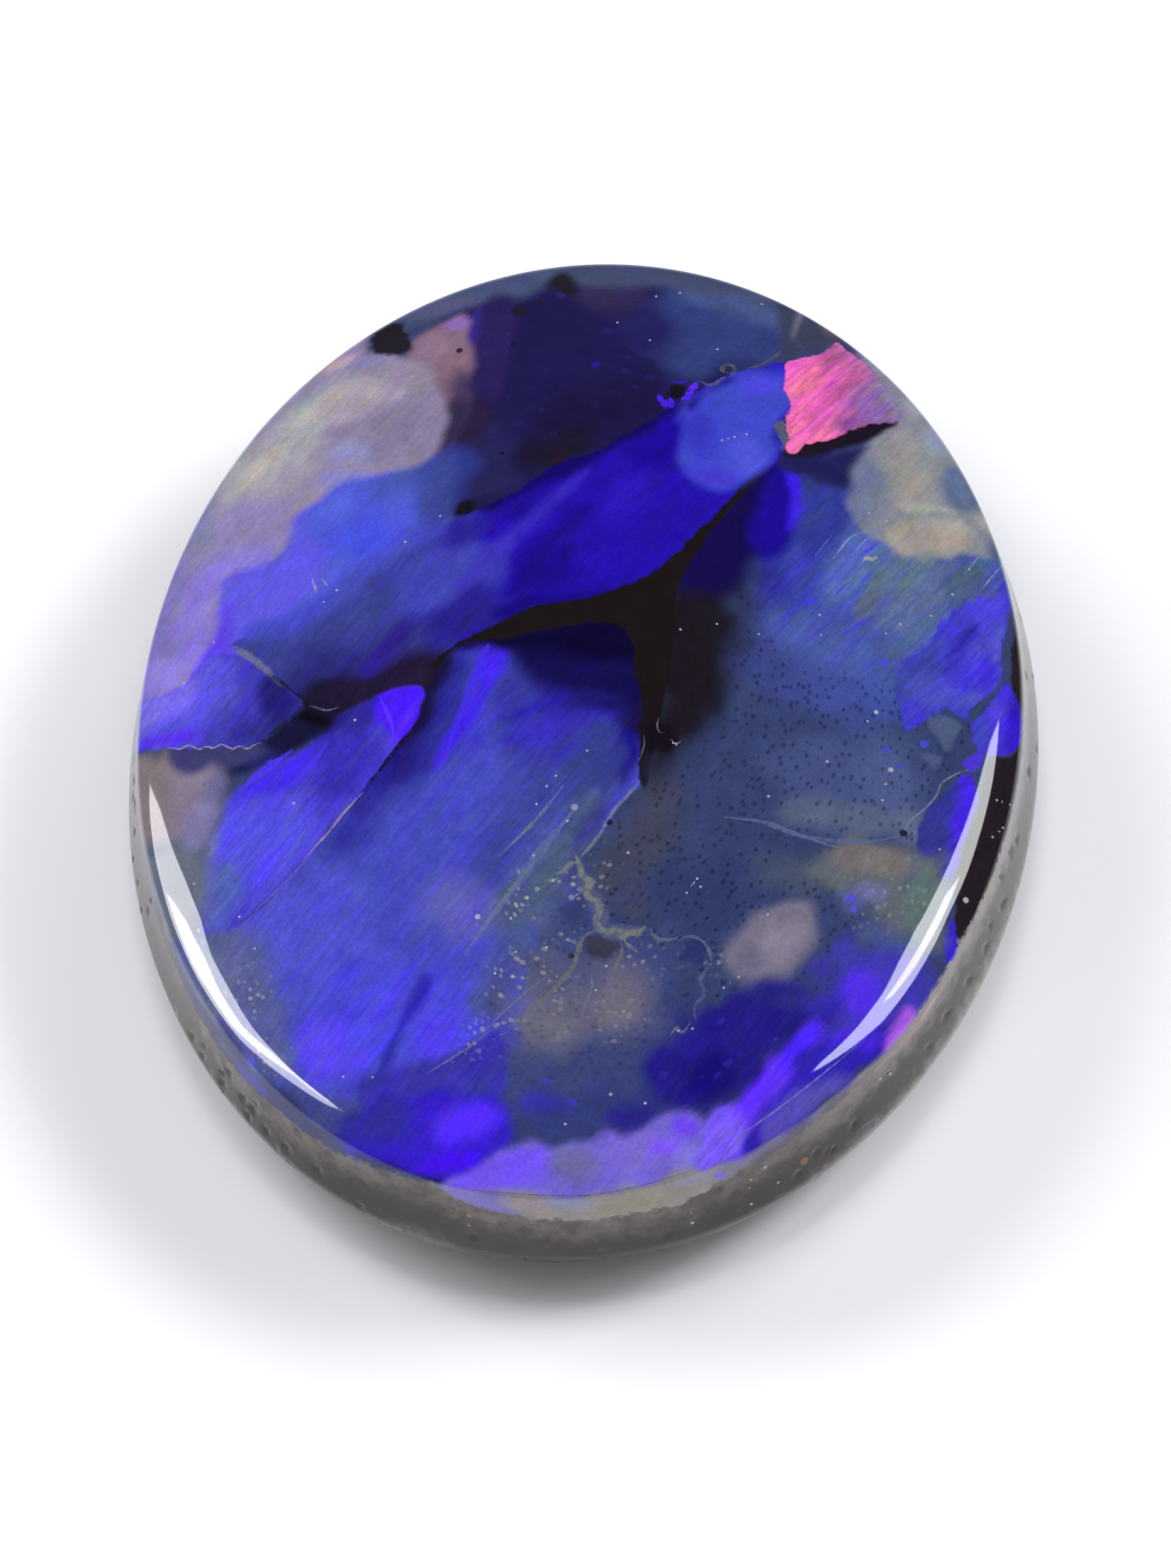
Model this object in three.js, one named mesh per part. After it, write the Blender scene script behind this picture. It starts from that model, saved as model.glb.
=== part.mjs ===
// A black opal, cut as an oval cabochon and polished all over. It is one stone: a low dome that bends down
// at the shoulder, a tight rounded edge, a leaning wall, and a belly that curves in to a flat resting face.
// The play of colour in its top millimetre and the dark potch below it grew together, so they are one
// solid here.
//
// Millimetres, +Z up. The origin is the middle of the flat resting face, the long axis lies along Y and
// the short axis along X.

import * as THREE from "three";

// The stone's driving sizes.
const LENGTH = 14.0; // along Y, at the girdle
const WIDTH = 11.4; // along X, at the girdle
const HEIGHT = 3.1; // resting face to the top of the dome

// The cross-section, measured along the short axis.
const DOME_EDGE_TILT = THREE.MathUtils.degToRad(18); // the dome's slope where the shoulder takes over
const SHOULDER_RADIUS = 2.4;
const SHOULDER_EDGE_TILT = THREE.MathUtils.degToRad(31); // the shoulder's slope where the edge takes over
const EDGE_RADIUS = 0.12; // the polished edge between the shoulder and the wall
const WALL_LEAN = THREE.MathUtils.degToRad(11); // the wall leans in this much towards the top
const WALL_TOP_INSET = 0.2; // from the girdle in to the top of the wall
const GIRDLE_HEIGHT = 0.95; // where the stone is widest
const BELLY_INSET = 1.3; // from the girdle in to the edge of the resting face

// How finely the round stretches are divided.
const DOME_STEPS = 11;
const SHOULDER_STEPS = 4;
const EDGE_STEPS = 6;
const BELLY_STEPS = 8;
const TURN_STEPS = 112;

const girdleRadius = WIDTH / 2;
const wallTilt = Math.PI / 2 - WALL_LEAN;

// Where the dome ends: far enough in for the two arcs to reach the top of the wall.
const shoulderReach = SHOULDER_RADIUS * (Math.sin(SHOULDER_EDGE_TILT) - Math.sin(DOME_EDGE_TILT));
const edgeReach = EDGE_RADIUS * (Math.sin(wallTilt) - Math.sin(SHOULDER_EDGE_TILT));
const domeEdge = girdleRadius - WALL_TOP_INSET - edgeReach - shoulderReach;
const domeRise = (Math.tan(DOME_EDGE_TILT) * domeEdge) / 2;

// The dome: a parabola from the top of the stone down to the start of the shoulder.
function domePoints() {
  const points = [];
  for (let i = 0; i <= DOME_STEPS; i++) {
    const share = i / DOME_STEPS;
    points.push(new THREE.Vector2(domeEdge * share, HEIGHT - domeRise * share ** 2));
  }
  return points;
}

// An arc that carries on from a point of the section, from one slope to a steeper one. The start itself
// isn't repeated.
function arcPoints(start, radius, firstTilt, lastTilt, steps) {
  const centre = new THREE.Vector2(
    start.x - radius * Math.sin(firstTilt),
    start.y - radius * Math.cos(firstTilt),
  );
  const points = [];
  for (let i = 1; i <= steps; i++) {
    const tilt = THREE.MathUtils.lerp(firstTilt, lastTilt, i / steps);
    points.push(
      new THREE.Vector2(centre.x + radius * Math.sin(tilt), centre.y + radius * Math.cos(tilt)),
    );
  }
  return points;
}

// The belly: a quarter of an ellipse from the girdle in to the edge of the resting face.
function bellyPoints() {
  const points = [];
  for (let i = 0; i <= BELLY_STEPS; i++) {
    const turn = (Math.PI / 2) * (i / BELLY_STEPS);
    points.push(
      new THREE.Vector2(
        girdleRadius - BELLY_INSET * (1 - Math.cos(turn)),
        i === BELLY_STEPS ? 0 : GIRDLE_HEIGHT * (1 - Math.sin(turn)),
      ),
    );
  }
  return points;
}

// The stone's cross-section from the top of the dome, round the edge, to the middle of the resting face.
// The straight wall is the step from the last point of the edge to the first point of the belly.
function crossSection() {
  const dome = domePoints();
  const shoulder = arcPoints(
    dome.at(-1), SHOULDER_RADIUS, DOME_EDGE_TILT, SHOULDER_EDGE_TILT, SHOULDER_STEPS,
  );
  const edge = arcPoints(shoulder.at(-1), EDGE_RADIUS, SHOULDER_EDGE_TILT, wallTilt, EDGE_STEPS);
  const restingCentre = new THREE.Vector2(0, 0);
  return [...dome, ...shoulder, ...edge, ...bellyPoints(), restingCentre];
}

// The section is turned once round the upright axis, laid into +Z up, and stretched to the oval.
function stoneGeometry() {
  const geometry = new THREE.LatheGeometry(crossSection().reverse(), TURN_STEPS);
  geometry.rotateX(Math.PI / 2);
  geometry.scale(1, LENGTH / WIDTH, 1);
  return geometry;
}

function opalMaterial() {
  return new THREE.MeshStandardMaterial({
    name: "polished_black_opal",
    color: 0x2c2f86,
    roughness: 0.06,
    metalness: 0,
  });
}

function blackOpal() {
  const stone = new THREE.Mesh(stoneGeometry(), opalMaterial());
  stone.name = "opal_cabochon";
  return stone;
}

const part = new THREE.Group();
part.name = "black_opal";
part.add(blackOpal());

export default part;
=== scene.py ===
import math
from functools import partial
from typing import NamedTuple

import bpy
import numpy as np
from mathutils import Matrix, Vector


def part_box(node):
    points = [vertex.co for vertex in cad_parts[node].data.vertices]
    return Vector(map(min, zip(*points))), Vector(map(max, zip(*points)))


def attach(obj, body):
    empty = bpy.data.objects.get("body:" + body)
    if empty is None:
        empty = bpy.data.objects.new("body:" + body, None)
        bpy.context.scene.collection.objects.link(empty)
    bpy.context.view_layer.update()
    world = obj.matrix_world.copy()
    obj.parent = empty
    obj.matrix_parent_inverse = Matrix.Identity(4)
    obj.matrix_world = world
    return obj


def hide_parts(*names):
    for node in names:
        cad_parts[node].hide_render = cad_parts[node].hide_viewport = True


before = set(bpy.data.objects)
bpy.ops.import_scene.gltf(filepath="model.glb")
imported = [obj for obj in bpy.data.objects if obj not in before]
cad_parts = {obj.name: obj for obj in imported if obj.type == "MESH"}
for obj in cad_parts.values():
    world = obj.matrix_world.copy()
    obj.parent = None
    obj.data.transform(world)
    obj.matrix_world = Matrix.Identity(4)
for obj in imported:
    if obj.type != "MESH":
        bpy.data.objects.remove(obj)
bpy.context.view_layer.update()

# A black opal, cut as an oval cabochon and polished, lying on a pale floor in soft studio light.
#
# The stone is one surface. Its play of colour is drawn on the flat: the dome, the shoulder and the wall are
# rolled out round the top of the stone, in millimetres, x to the right and y away from the viewer. Patches,
# strokes and specks are outlined there, and each point of the surface carries how far it lies from them, so
# that the material can draw their edges far finer than the surface is divided.

MM = 0.001  # the stone is worked out in millimetres and stored in metres

# The stone's sizes, from the frame, and its cross-section, along the short axis.
stone_low, stone_high = (np.array(corner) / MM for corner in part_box("opal_cabochon"))
WIDTH, LENGTH, HEIGHT = stone_high - stone_low
DOME_EDGE_TILT = math.radians(18)  # the dome's slope where the shoulder takes over
SHOULDER_RADIUS = 2.4
SHOULDER_EDGE_TILT = math.radians(31)  # the shoulder's slope where the edge takes over
EDGE_RADIUS = 0.12  # the polished edge between the shoulder and the wall
WALL_LEAN = math.radians(11)  # the wall leans in this much towards the top
WALL_TILT = math.pi / 2 - WALL_LEAN
WALL_TOP_INSET = 0.2  # from the girdle in to the top of the wall
GIRDLE_RADIUS = WIDTH / 2
GIRDLE_HEIGHT = 0.95  # where the stone is widest
BELLY_INSET = 1.3  # from the girdle in to the edge of the resting face
STRETCH = LENGTH / WIDTH

# How finely the surface is divided.
SECTION_STEPS = 400
DOME_RINGS = 106  # dome and shoulder
EDGE_RINGS = 8
WALL_RINGS = 21
BELLY_RINGS = 16
SPACING = 0.053  # between neighbouring points on the dome


def arc(start, radius, first_tilt, last_tilt):
    """Points along an arc that carries on from a point of the section, from one slope to another: the
    radius times the gain of the slope's sine outwards, and of its cosine upwards."""
    tilt = np.linspace(first_tilt, last_tilt, SECTION_STEPS)
    outwards = start[0] + radius * (np.sin(tilt) - math.sin(first_tilt))
    upwards = start[1] + radius * (np.cos(tilt) - math.cos(first_tilt))
    return np.stack([outwards, upwards])


def cross_section():
    """The section from the top of the dome to the edge of the resting face.

    A parabola, the shoulder's wide arc, the edge's tight arc, a straight leaning wall and a quarter of an
    ellipse follow each other. It gives the length along the section from the top, the radius and the
    height, as arrays.
    """
    share = np.linspace(0, 1, SECTION_STEPS)
    dome_edge = (
        GIRDLE_RADIUS
        - WALL_TOP_INSET
        - EDGE_RADIUS * (math.sin(WALL_TILT) - math.sin(SHOULDER_EDGE_TILT))
        - SHOULDER_RADIUS * (math.sin(SHOULDER_EDGE_TILT) - math.sin(DOME_EDGE_TILT))
    )
    dome_rise = math.tan(DOME_EDGE_TILT) * dome_edge / 2
    dome = np.stack([dome_edge * share, HEIGHT - dome_rise * share**2])
    shoulder = arc(dome[:, -1], SHOULDER_RADIUS, DOME_EDGE_TILT, SHOULDER_EDGE_TILT)
    edge = arc(shoulder[:, -1], EDGE_RADIUS, SHOULDER_EDGE_TILT, WALL_TILT)
    wall = np.linspace(edge[:, -1], (GIRDLE_RADIUS, GIRDLE_HEIGHT), SECTION_STEPS).T
    turn = share * math.pi / 2
    belly = np.stack([GIRDLE_RADIUS - BELLY_INSET * (1 - np.cos(turn)), GIRDLE_HEIGHT * (1 - np.sin(turn))])
    stretches = [dome, shoulder[:, 1:], edge[:, 1:], wall[:, 1:], belly[:, 1:]]
    radius, height = np.concatenate(stretches, axis=1)
    along = np.concatenate([[0], np.cumsum(np.hypot(np.diff(radius), np.diff(height)))])
    return along, radius, height


SECTION_ALONG, SECTION_RADIUS, SECTION_HEIGHT = cross_section()


# The pattern's parts. Every place and size is in millimetres on the flat.
class Shade(NamedTuple):
    """A soft cloud of another colour inside a patch."""

    colour: str
    outline: list
    soft: float = 0.5
    strength: float = 1.0


class Patch(NamedTuple):
    """A patch of one colour with an outline. The later of two patches lies over the earlier."""

    name: str  # only for the reader
    colour: str
    outline: list
    soft: float = 0.05  # how wide its edge is
    ragged: float = 0.03  # how far its edge wanders
    silk: float = 0.12  # how strong its striations are
    dots: float = 0.0  # how strong its dark dots are
    shades: tuple = ()  # rows of what a Shade holds


class Stroke(NamedTuple):
    """A line along a row of points, that thins out at its ends."""

    colour: str
    width: float
    points: list
    taper: float = 0.15  # how long each thin end is


class Speck(NamedTuple):
    """A small roundish grain."""

    x: float
    y: float
    radius: float = 0.016
    colour: str = "989cae"


class Region(NamedTuple):
    """A soft-edged part of the pattern where small grains gather."""

    outline: list
    soft: float
    strength: float = 1.0


OVAL_POINTS = 16


def oval(x, y, half_wide, half_tall, turn=0):
    """Points round an ellipse, turned anticlockwise by some degrees."""
    angle = np.linspace(0, 2 * math.pi, OVAL_POINTS, endpoint=False)
    side, rise = half_wide * np.cos(angle), half_tall * np.sin(angle)
    cos, sin = math.cos(math.radians(turn)), math.sin(math.radians(turn))
    return list(zip(x + side * cos - rise * sin, y + side * sin + rise * cos))


# The patches, from the lowest to the highest.
PATCHES = [
    Patch("slate_ground", "38426a", oval(0, 0, 9, 10.5), silk=0.08, shades=(
        # the back rim, paler partly from a painted reflection at the grazing edge
        ("465074", [(-3.3, 5.5), (-2.2, 5.85), (-1.5, 5.9), (-1, 6.3), (0, 6.75), (1.2, 6.2), (2.1, 5.9),
                    (2.3, 6.4), (1.4, 7.4), (-1, 7.6), (-3.3, 6.6)], 0.4),
        ("535477", oval(-2.35, 6, 0.5, 0.22), 0.3),
        # the lower middle: slate over indigo, a warm glow, blue clouds
        ("595c72", [(-0.3, -3.9), (0.5, -3.75), (1.2, -3.95), (1.35, -4.6), (0.8, -5.1), (-0.2, -5.2),
                    (-0.5, -4.6)], 0.6),
        ("6d687b", oval(0.95, -4.4, 0.4, 0.42)),
        ("66647a", oval(0.1, -4.75, 0.35, 0.3)),
        ("323c78", [(-0.9, -5.2), (0.3, -5.3), (1.4, -4.95), (1.6, -5.6), (0.6, -6.2), (-0.9, -6)]),
        ("2b2b78", [(1.5, -4.7), (2.3, -4.2), (3.2, -4), (3.6, -4.4), (2.6, -5.3), (2.1, -5.8),
                    (1.6, -5.7)]),
        ("1c126e", oval(2.2, -5.1, 0.32, 0.6, -30), 0.4),
        ("2613aa", oval(1.78, -5.05, 0.16, 0.4, -15), 0.25),
        ("3431a5", oval(0.1, -5.7, 0.3, 0.14), 0.25),
        ("3a38a0", oval(0.68, -5.38, 0.12, 0.09), 0.14),
        ("292485", oval(1.3, -5.8, 0.4, 0.18), 0.3),
    )),
    Patch("dotted_slate", "36426d",
          [(1.5, 1.3), (2.2, 1.8), (3.5, 1.6), (5.2, 1.6), (5.4, -0.5), (5, -2.6), (4.4, -4), (3, -4.3),
           (1.6, -4.3), (0.6, -3.6), (0.4, -2.7), (0.7, -1.8), (0.9, -1.2), (1.2, -0.2)], soft=0.4,
           silk=0.03, dots=1.0, shades=(
        ("3b4584", oval(2.5, 0.6, 0.5, 0.6), 0.6),
        ("41445c", [(1, -1.3), (1.5, -1.6), (1.5, -2.6), (1.1, -3.2), (0.6, -3), (0.4, -2.5), (0.8, -1.8)]),
        ("424e98", oval(3.25, 0.3, 0.6, 0.55), 0.6),
        ("4152a2", oval(3.8, 0.35, 0.35, 0.5)),
        ("44507f", oval(3.2, -1.1, 0.6, 0.7), 0.7),
        ("4b5888", oval(3.95, -0.95, 0.5, 0.6), 0.6),
        ("313c6a", oval(1.7, -2.9, 0.7, 0.5), 0.6),
        ("566380", oval(3.4, -1.62, 0.7, 0.22, 5), 0.3),
        ("46506c", oval(2.9, -2.45, 0.5, 0.3), 0.4),
        ("5b6586", oval(4.3, -1.55, 0.22, 0.22), 0.25),
    )),
    Patch("violet_cloud", "4038b4",
          [(3.6, -3.35), (4.2, -3.1), (4.8, -3.25), (4.6, -4.2), (4, -4.7), (3.3, -4.4), (3.25, -3.95)],
           soft=0.5, ragged=0.2, silk=0.15, shades=(
        ("505e94", oval(4.2, -3.05, 0.4, 0.2), 0.3),
        ("5230e8", oval(3.9, -3.9, 0.3, 0.35), 0.3),
        ("362cac", oval(3.5, -3.95, 0.2, 0.4), 0.3),
    )),
    Patch("brushed_blue", "4959a6",
          [(2.1, 2), (2.5, 2.9), (3.2, 2.9), (3.7, 2.7), (4.7, 2.8), (5.5, 2.9), (5.1, 1.6), (4.5, 0.9),
           (3.9, 0.4), (3, 0.5), (2.3, 0.9)], soft=0.4, silk=0.3, shades=(
        ("3a41a8", oval(2.6, 1.9, 0.35, 0.7), 0.4),
        ("2b2d90", oval(2.15, 1.5, 0.2, 0.55), 0.4),
        ("5467b2", oval(3.3, 2.05, 0.25, 0.6, -30), 0.3),
        ("55669a", oval(4.15, 1.75, 0.4, 0.7, -20), 0.4),
        ("6d7992", oval(4, 2.33, 0.3, 0.12), 0.2),
        ("4448bc", oval(3.3, 1.1, 0.35, 0.22), 0.3),
        ("4855b3", oval(3.8, 0.7, 0.3, 0.2), 0.3),
        ("6a789e", oval(4.1, 1.8, 0.07, 0.85, -37), 0.14, 0.7),
        ("6a789a", oval(4.35, 1.75, 0.06, 0.7, -37), 0.12, 0.6),
        ("5a6680", [(3.55, 2), (3.75, 2.1), (3.76, 1.8), (3.6, 1.5), (3.42, 1.22), (3.38, 1.4),
                    (3.5, 1.8)], 0.14),
        ("5a6e90", oval(3.95, 2, 0.3, 0.4, -35), 0.4),
        ("4b5a84", oval(4.75, 2.1, 0.3, 0.4), 0.35),
        ("47569c", oval(3.2, 1.1, 0.5, 0.3), 0.4),
        ("49598f", oval(3.85, 0.8, 0.2, 0.3), 0.3),
    )),
    Patch("indigo_top", "1e1a4c",
          [(-2.3, 5.7), (-2, 4.6), (-2.1, 3.4), (-1.9, 2.6), (-1.6, 2.2), (0.2, 3), (2.4, 4.8), (2.2, 5.4),
           (2.1, 6.1), (1.2, 6.5), (0.4, 6.7), (-0.4, 6.8), (-0.9, 6.4), (-1.4, 6.05)], soft=0.25,
           silk=0.06, shades=(
        ("332b54", oval(-0.15, 6.3, 0.5, 0.45), 0.4),
        ("323e78", [(0.6, 5), (1, 4.8), (1.6, 5), (2.3, 5.2), (2.4, 6.3), (1.2, 6.8), (0.5, 6.3),
                    (0.3, 5.5)]),
        # paler slate at the back rim, partly a painted reflection at the grazing edge
        ("465484", [(0.8, 6.2), (1.7, 5.95), (2.2, 6), (2, 6.7), (1.2, 6.9), (0.7, 6.7)], 0.4),
        ("24225c", oval(0.3, 5.6, 0.4, 0.5)),
        ("372a88", [(-1.95, 5.85), (-1.65, 5.8), (-1.6, 5.3), (-1.75, 4.9), (-2, 5)], 0.2),
        ("252455", [(-2, 3.9), (-1.5, 3.8), (-1, 3), (-1.3, 2.6), (-2, 2.6)]),
        ("1c1642", oval(-0.1, 4.1, 0.9, 0.5, 35)),
        ("2a1f40", [(-1.8, 4.6), (-1.5, 4.4), (-1.6, 3.6), (-1.9, 3.2), (-2.1, 3.5)], 0.3),
        ("1d1830", oval(-0.6, 3.42, 0.5, 0.28, 35), 0.3),
        ("2f3788", oval(-1.8, 2.95, 0.2, 0.4), 0.3),
    )),
    Patch("bright_blue", "505ad4",
          [(-5.3, -0.3), (-5.2, 0.6), (-5.1, 1.5), (-4.5, 2.4), (-3.9, 3), (-3, 3.5), (-2.1, 3.6),
           (-1.85, 3), (-1.75, 2.3), (-2, 1.6), (-2.6, 1.2), (-3, 0.9), (-3.6, 0.3), (-4.1, 0.1),
           (-4.6, -0.2)], soft=0.3, ragged=0.08, shades=(
        ("605ae2", [(-5, 1.3), (-4.2, 1.9), (-3.7, 2.2), (-3.4, 1.6), (-3.6, 1), (-4.4, 0.5), (-5, 0.3)]),
        ("6244ec", [(-4.9, 0.9), (-4.5, 0.9), (-4.4, 0.4), (-4.7, -0.1), (-5, 0)], 0.35),
        ("5a6ae0", oval(-3.35, 2.5, 0.3, 0.2, 40), 0.35),
        ("4652e2", oval(-2.9, 1.95, 0.4, 0.3), 0.45),
        ("4756ae", oval(-2.4, 2.85, 0.45, 0.35)),
        ("3a4490", [(-2.3, 3.7), (-2, 3.6), (-1.7, 3), (-1.6, 2.2), (-2.1, 2), (-2.25, 2.8)], 0.4),
    )),
    Patch("mauve_wing", "84697c",
          [(-2.75, 5.2), (-2.5, 5.5), (-2.3, 5.68), (-2.1, 5.78), (-1.95, 5.6), (-1.93, 5.3), (-1.68, 5),
           (-1.68, 4.7), (-1.72, 4.3), (-1.8, 3.9), (-1.95, 3.5), (-2.3, 3.3), (-2.4, 4.2), (-2.7, 4.8)],
           soft=0.14, ragged=0.05, silk=0.05, shades=(
        ("8c6ab2", oval(-2.12, 5.62, 0.22, 0.14), 0.2),
        ("8c7288", oval(-2.4, 5.15, 0.2, 0.25), 0.25),
        ("46385a", [(-2.1, 4.6), (-1.75, 4.65), (-1.6, 4.2), (-1.7, 3.3), (-2.2, 3.2)], 0.35),
        ("342a4a", [(-2.1, 4.1), (-1.6, 4), (-1.7, 3.3), (-2.2, 3.2)], 0.3),
    )),
    Patch("milky_sheet", "9288a6",
          [(-3.3, 5.2), (-2.75, 4.98), (-2.4, 4.72), (-2.15, 4.2), (-2.06, 3.6), (-2.15, 3.3), (-2.4, 3.12),
           (-2.9, 3), (-3.2, 2.92), (-3.45, 2.8), (-3.6, 2.6), (-3.85, 2.3), (-3.95, 1.87), (-4.15, 1.67),
           (-4.6, 1.52), (-4.74, 1.35), (-4.68, 0.75), (-4.72, 0.45), (-4.85, 0.2), (-5.05, -0.12),
           (-5.4, -0.3), (-6.6, -0.5), (-6.5, 2), (-5.6, 4.4), (-4.4, 5.8), (-3.5, 5.9)], soft=0.18,
           ragged=0.06, shades=(
        ("a4a2aa", [(-5, 3.1), (-4.5, 3.8), (-3.9, 4.5), (-3.4, 4.5), (-3.8, 3.6), (-4.2, 2.8),
                    (-4.7, 2.6)]),
        ("bab0ae", oval(-3.7, 4.25, 0.14, 0.42, -48), 0.22),
        ("a9aeb0", oval(-4.15, 3.95, 0.1, 0.4, -40), 0.2),
        ("b4a9a8", oval(-4.45, 3.25, 0.12, 0.4, -35), 0.25),
        ("8f9cae", oval(-3.95, 4.45, 0.08, 0.3, -45), 0.15),
        ("bea6b2", oval(-3.63, 5.05, 0.08, 0.22, -55), 0.14),
        ("8285ba", oval(-3.25, 4.97, 0.08, 0.22, -70), 0.14),
        ("9488a0", oval(-2.7, 4.5, 0.35, 0.3), 0.4),
        ("a59cb6", oval(-2.78, 4.25, 0.06, 0.2, -20), 0.14),
        ("867b9c", [(-3.2, 4.1), (-2.3, 4.3), (-2, 3.7), (-2.3, 3.2), (-3, 3.2), (-3.3, 3.6)]),
        ("9190c2", oval(-3.25, 3.35, 0.3, 0.2), 0.35),
        ("a198ac", oval(-4.1, 2.95, 0.2, 0.35, -30), 0.3),
        ("8f84b4", [(-4.7, 2.6), (-4, 2.6), (-3.8, 2.1), (-4.5, 1.7), (-5, 1.9)]),
        ("8a7ad4", [(-4.8, 1.9), (-4.1, 1.9), (-4.2, 1.5), (-4.7, 1.4), (-4.8, 0.3), (-5.3, 0.1),
                    (-5.3, 1.4)], 0.4),
        ("7f76bc", [(-5.2, 1.9), (-5.3, 0.9), (-5.3, -0.3), (-6.5, -0.5), (-6.4, 2)], 0.4),
        ("8286ae", [(-5, 2.7), (-5.1, 2.1), (-6.4, 1.9), (-5.9, 4), (-5.3, 3.8)], 0.4),
        ("a2a6b2", oval(-4.95, 3.5, 0.15, 0.35, -35), 0.3),
        ("8b8fa8", [(-4.85, 3.9), (-4.2, 4.7), (-3.8, 5.4), (-4.4, 6), (-5.5, 4.6)], 0.35),
        ("a499a6", oval(-3.3, 4.25, 0.5, 0.25, 30), 0.4),
        ("8584c4", oval(-3.3, 3, 0.35, 0.14), 0.25),
    )),
    Patch("wing_shadow", "2b2058",
          [(-1.86, 6), (-1.4, 6), (-1.4, 4.3), (-1.78, 4.3), (-1.84, 5)], soft=0.2, silk=0.1),
    Patch("black_corner", "231f28",
          [(-3.12, 5.72), (-3.26, 5.55), (-3.26, 5.3), (-3.15, 5.14), (-2.88, 5.06), (-2.7, 5.12),
           (-2.74, 5.35), (-2.86, 5.6), (-2.98, 5.72)], soft=0.1, ragged=0.07, silk=0.0),
    Patch("blue_finger", "4a42cc",
          [(-1.85, -0.3), (-1.75, -0.5), (-1.85, -1.1), (-2.3, -1.7), (-2.75, -2.3), (-3.2, -2.9),
           (-3.75, -3.5), (-4.1, -3.7), (-4.6, -3.2), (-4.5, -2.7), (-4.35, -2.2), (-4.2, -1.8),
           (-4, -1.55), (-3.75, -1.35), (-3.5, -1.2), (-3.25, -1.05), (-3.05, -0.85), (-2.85, -0.63),
           (-2.45, -0.3), (-2.1, -0.2)], soft=0.16, ragged=0.1, silk=0.3, shades=(
        ("2f2894", [(-2.3, -0.3), (-2.5, -1), (-2.9, -1.1), (-3.1, -0.9), (-2.8, -0.4)], 0.3),
        ("3830b4", [(-2.3, -1.1), (-2.6, -1.7), (-3.1, -1.7), (-3.2, -1.1), (-2.8, -0.9)], 0.4),
        ("4a1ef8", [(-1.7, -0.2), (-1.8, -0.7), (-2, -1.15), (-2.2, -1), (-2.42, -0.6),
                    (-2.3, -0.3)], 0.18),
        ("5a2cf8", oval(-2.08, -0.85, 0.06, 0.3, -20), 0.12),
        ("442fe6", [(-3.2, -1.1), (-3.3, -1.5), (-3.7, -1.8), (-4.1, -1.6), (-3.6, -1.3)], 0.2),
        ("5450e2", [(-3.4, -1.9), (-4.3, -1.8), (-4.5, -2.6), (-4, -3), (-3.4, -2.9), (-3.1, -2.4)]),
        ("535ebc", oval(-4.25, -3.1, 0.3, 0.5, -20), 0.35),
        ("686cc0", oval(-4.4, -2.4, 0.12, 0.25), 0.2),
    )),
    Patch("brown_shadow", "1d1821",
          [(1.05, 1.6), (1.5, 2), (1.85, 1.7), (1.92, 0.8), (1.9, 0), (1.7, -0.7), (1.35, -1.2), (1, -1.3),
           (0.9, 0.2)], soft=0.6, ragged=0.15, silk=0.0),
    Patch("navy_wedge", "150c4c",
          [(2.2, 3.7), (1.8, 3.1), (1.4, 2.5), (1.1, 1.95), (1, 1.5), (1.5, 1.35), (1.95, 1.5), (2.2, 2.1),
           (2.35, 2.9)], soft=0.42, ragged=0.1, silk=0.08),
    Patch("gap", "1b1517",
          [(2.1, 3.5), (1.9, 3.05), (1.6, 2.5), (1.3, 1.85), (1.2, 1.55), (1.13, 1.1), (1.16, 0.4),
           (1.12, -0.4), (1.05, -1.2), (0.95, -1.5), (0.3, -0.6), (-1.4, 0), (-1.62, -0.6), (-1.75, -1.2),
           (-1.85, -1), (-1.83, -0.5), (-1.9, -0.28), (-2.12, -0.28), (-2.45, -0.4), (-2.8, -0.6),
           (-3.1, -0.7), (-3.4, -0.5), (-3.2, -0.2), (-2, 0.3), (0, 1.3), (1.5, 2.9)], ragged=0.02,
           silk=0.0, shades=(
        ("271a3c", [(-2.7, -0.1), (-1.9, 0.1), (-1.9, -0.3), (-2.8, -0.6)], 0.25),
        ("24213a", oval(1.05, -1.3, 0.12, 0.2), 0.2),
    )),
    Patch("royal_wedge", "1c0c90",
          [(2.2, 3.45), (2.45, 3.45), (2.62, 3), (2.55, 2.45), (2.4, 2.1), (2.15, 1.95), (1.95, 2.25),
           (2, 2.7)], soft=0.22, silk=0.15, shades=(
        ("3c1fe4", [(2.32, 3.42), (2.48, 3.38), (2.6, 3), (2.56, 2.6), (2.42, 2.45), (2.42, 3)], 0.14),
    )),
    Patch("blue_wedge", "313a92",
          [(2.6, 3.5), (3.2, 3.4), (3.2, 2.8), (3, 2.3), (2.7, 2.1), (2.55, 2.4), (2.62, 2.9)], soft=0.25,
           silk=0.25, shades=(
        ("2b2e70", oval(2.9, 3.45, 0.4, 0.2), 0.3),
    )),
    Patch("long_band", "2411a8",
          [(2.17, 5.22), (1.95, 5.15), (1.55, 4.95), (1.35, 4.8), (1.15, 4.6), (0.85, 4.3), (0.5, 3.9),
           (0.15, 3.6), (-0.05, 3.4), (-0.5, 3.2), (-0.8, 2.9), (-1.2, 2.55), (-1.6, 2.3), (-1.9, 2.15),
           (-2.3, 1.95), (-2.6, 1.65), (-3, 1.4), (-3.3, 1), (-3.7, 0.75), (-4.1, 0.6), (-4.45, 0.45),
           (-4.15, 0.2), (-3.8, -0.1), (-3.45, -0.4), (-3.25, -0.52), (-2.9, -0.58), (-2.55, -0.45),
           (-2.25, -0.25), (-1.98, -0.06), (-1.7, 0.18), (-1.3, 0.5), (-0.95, 0.7), (-0.65, 0.9), (-0.3, 1),
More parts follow.
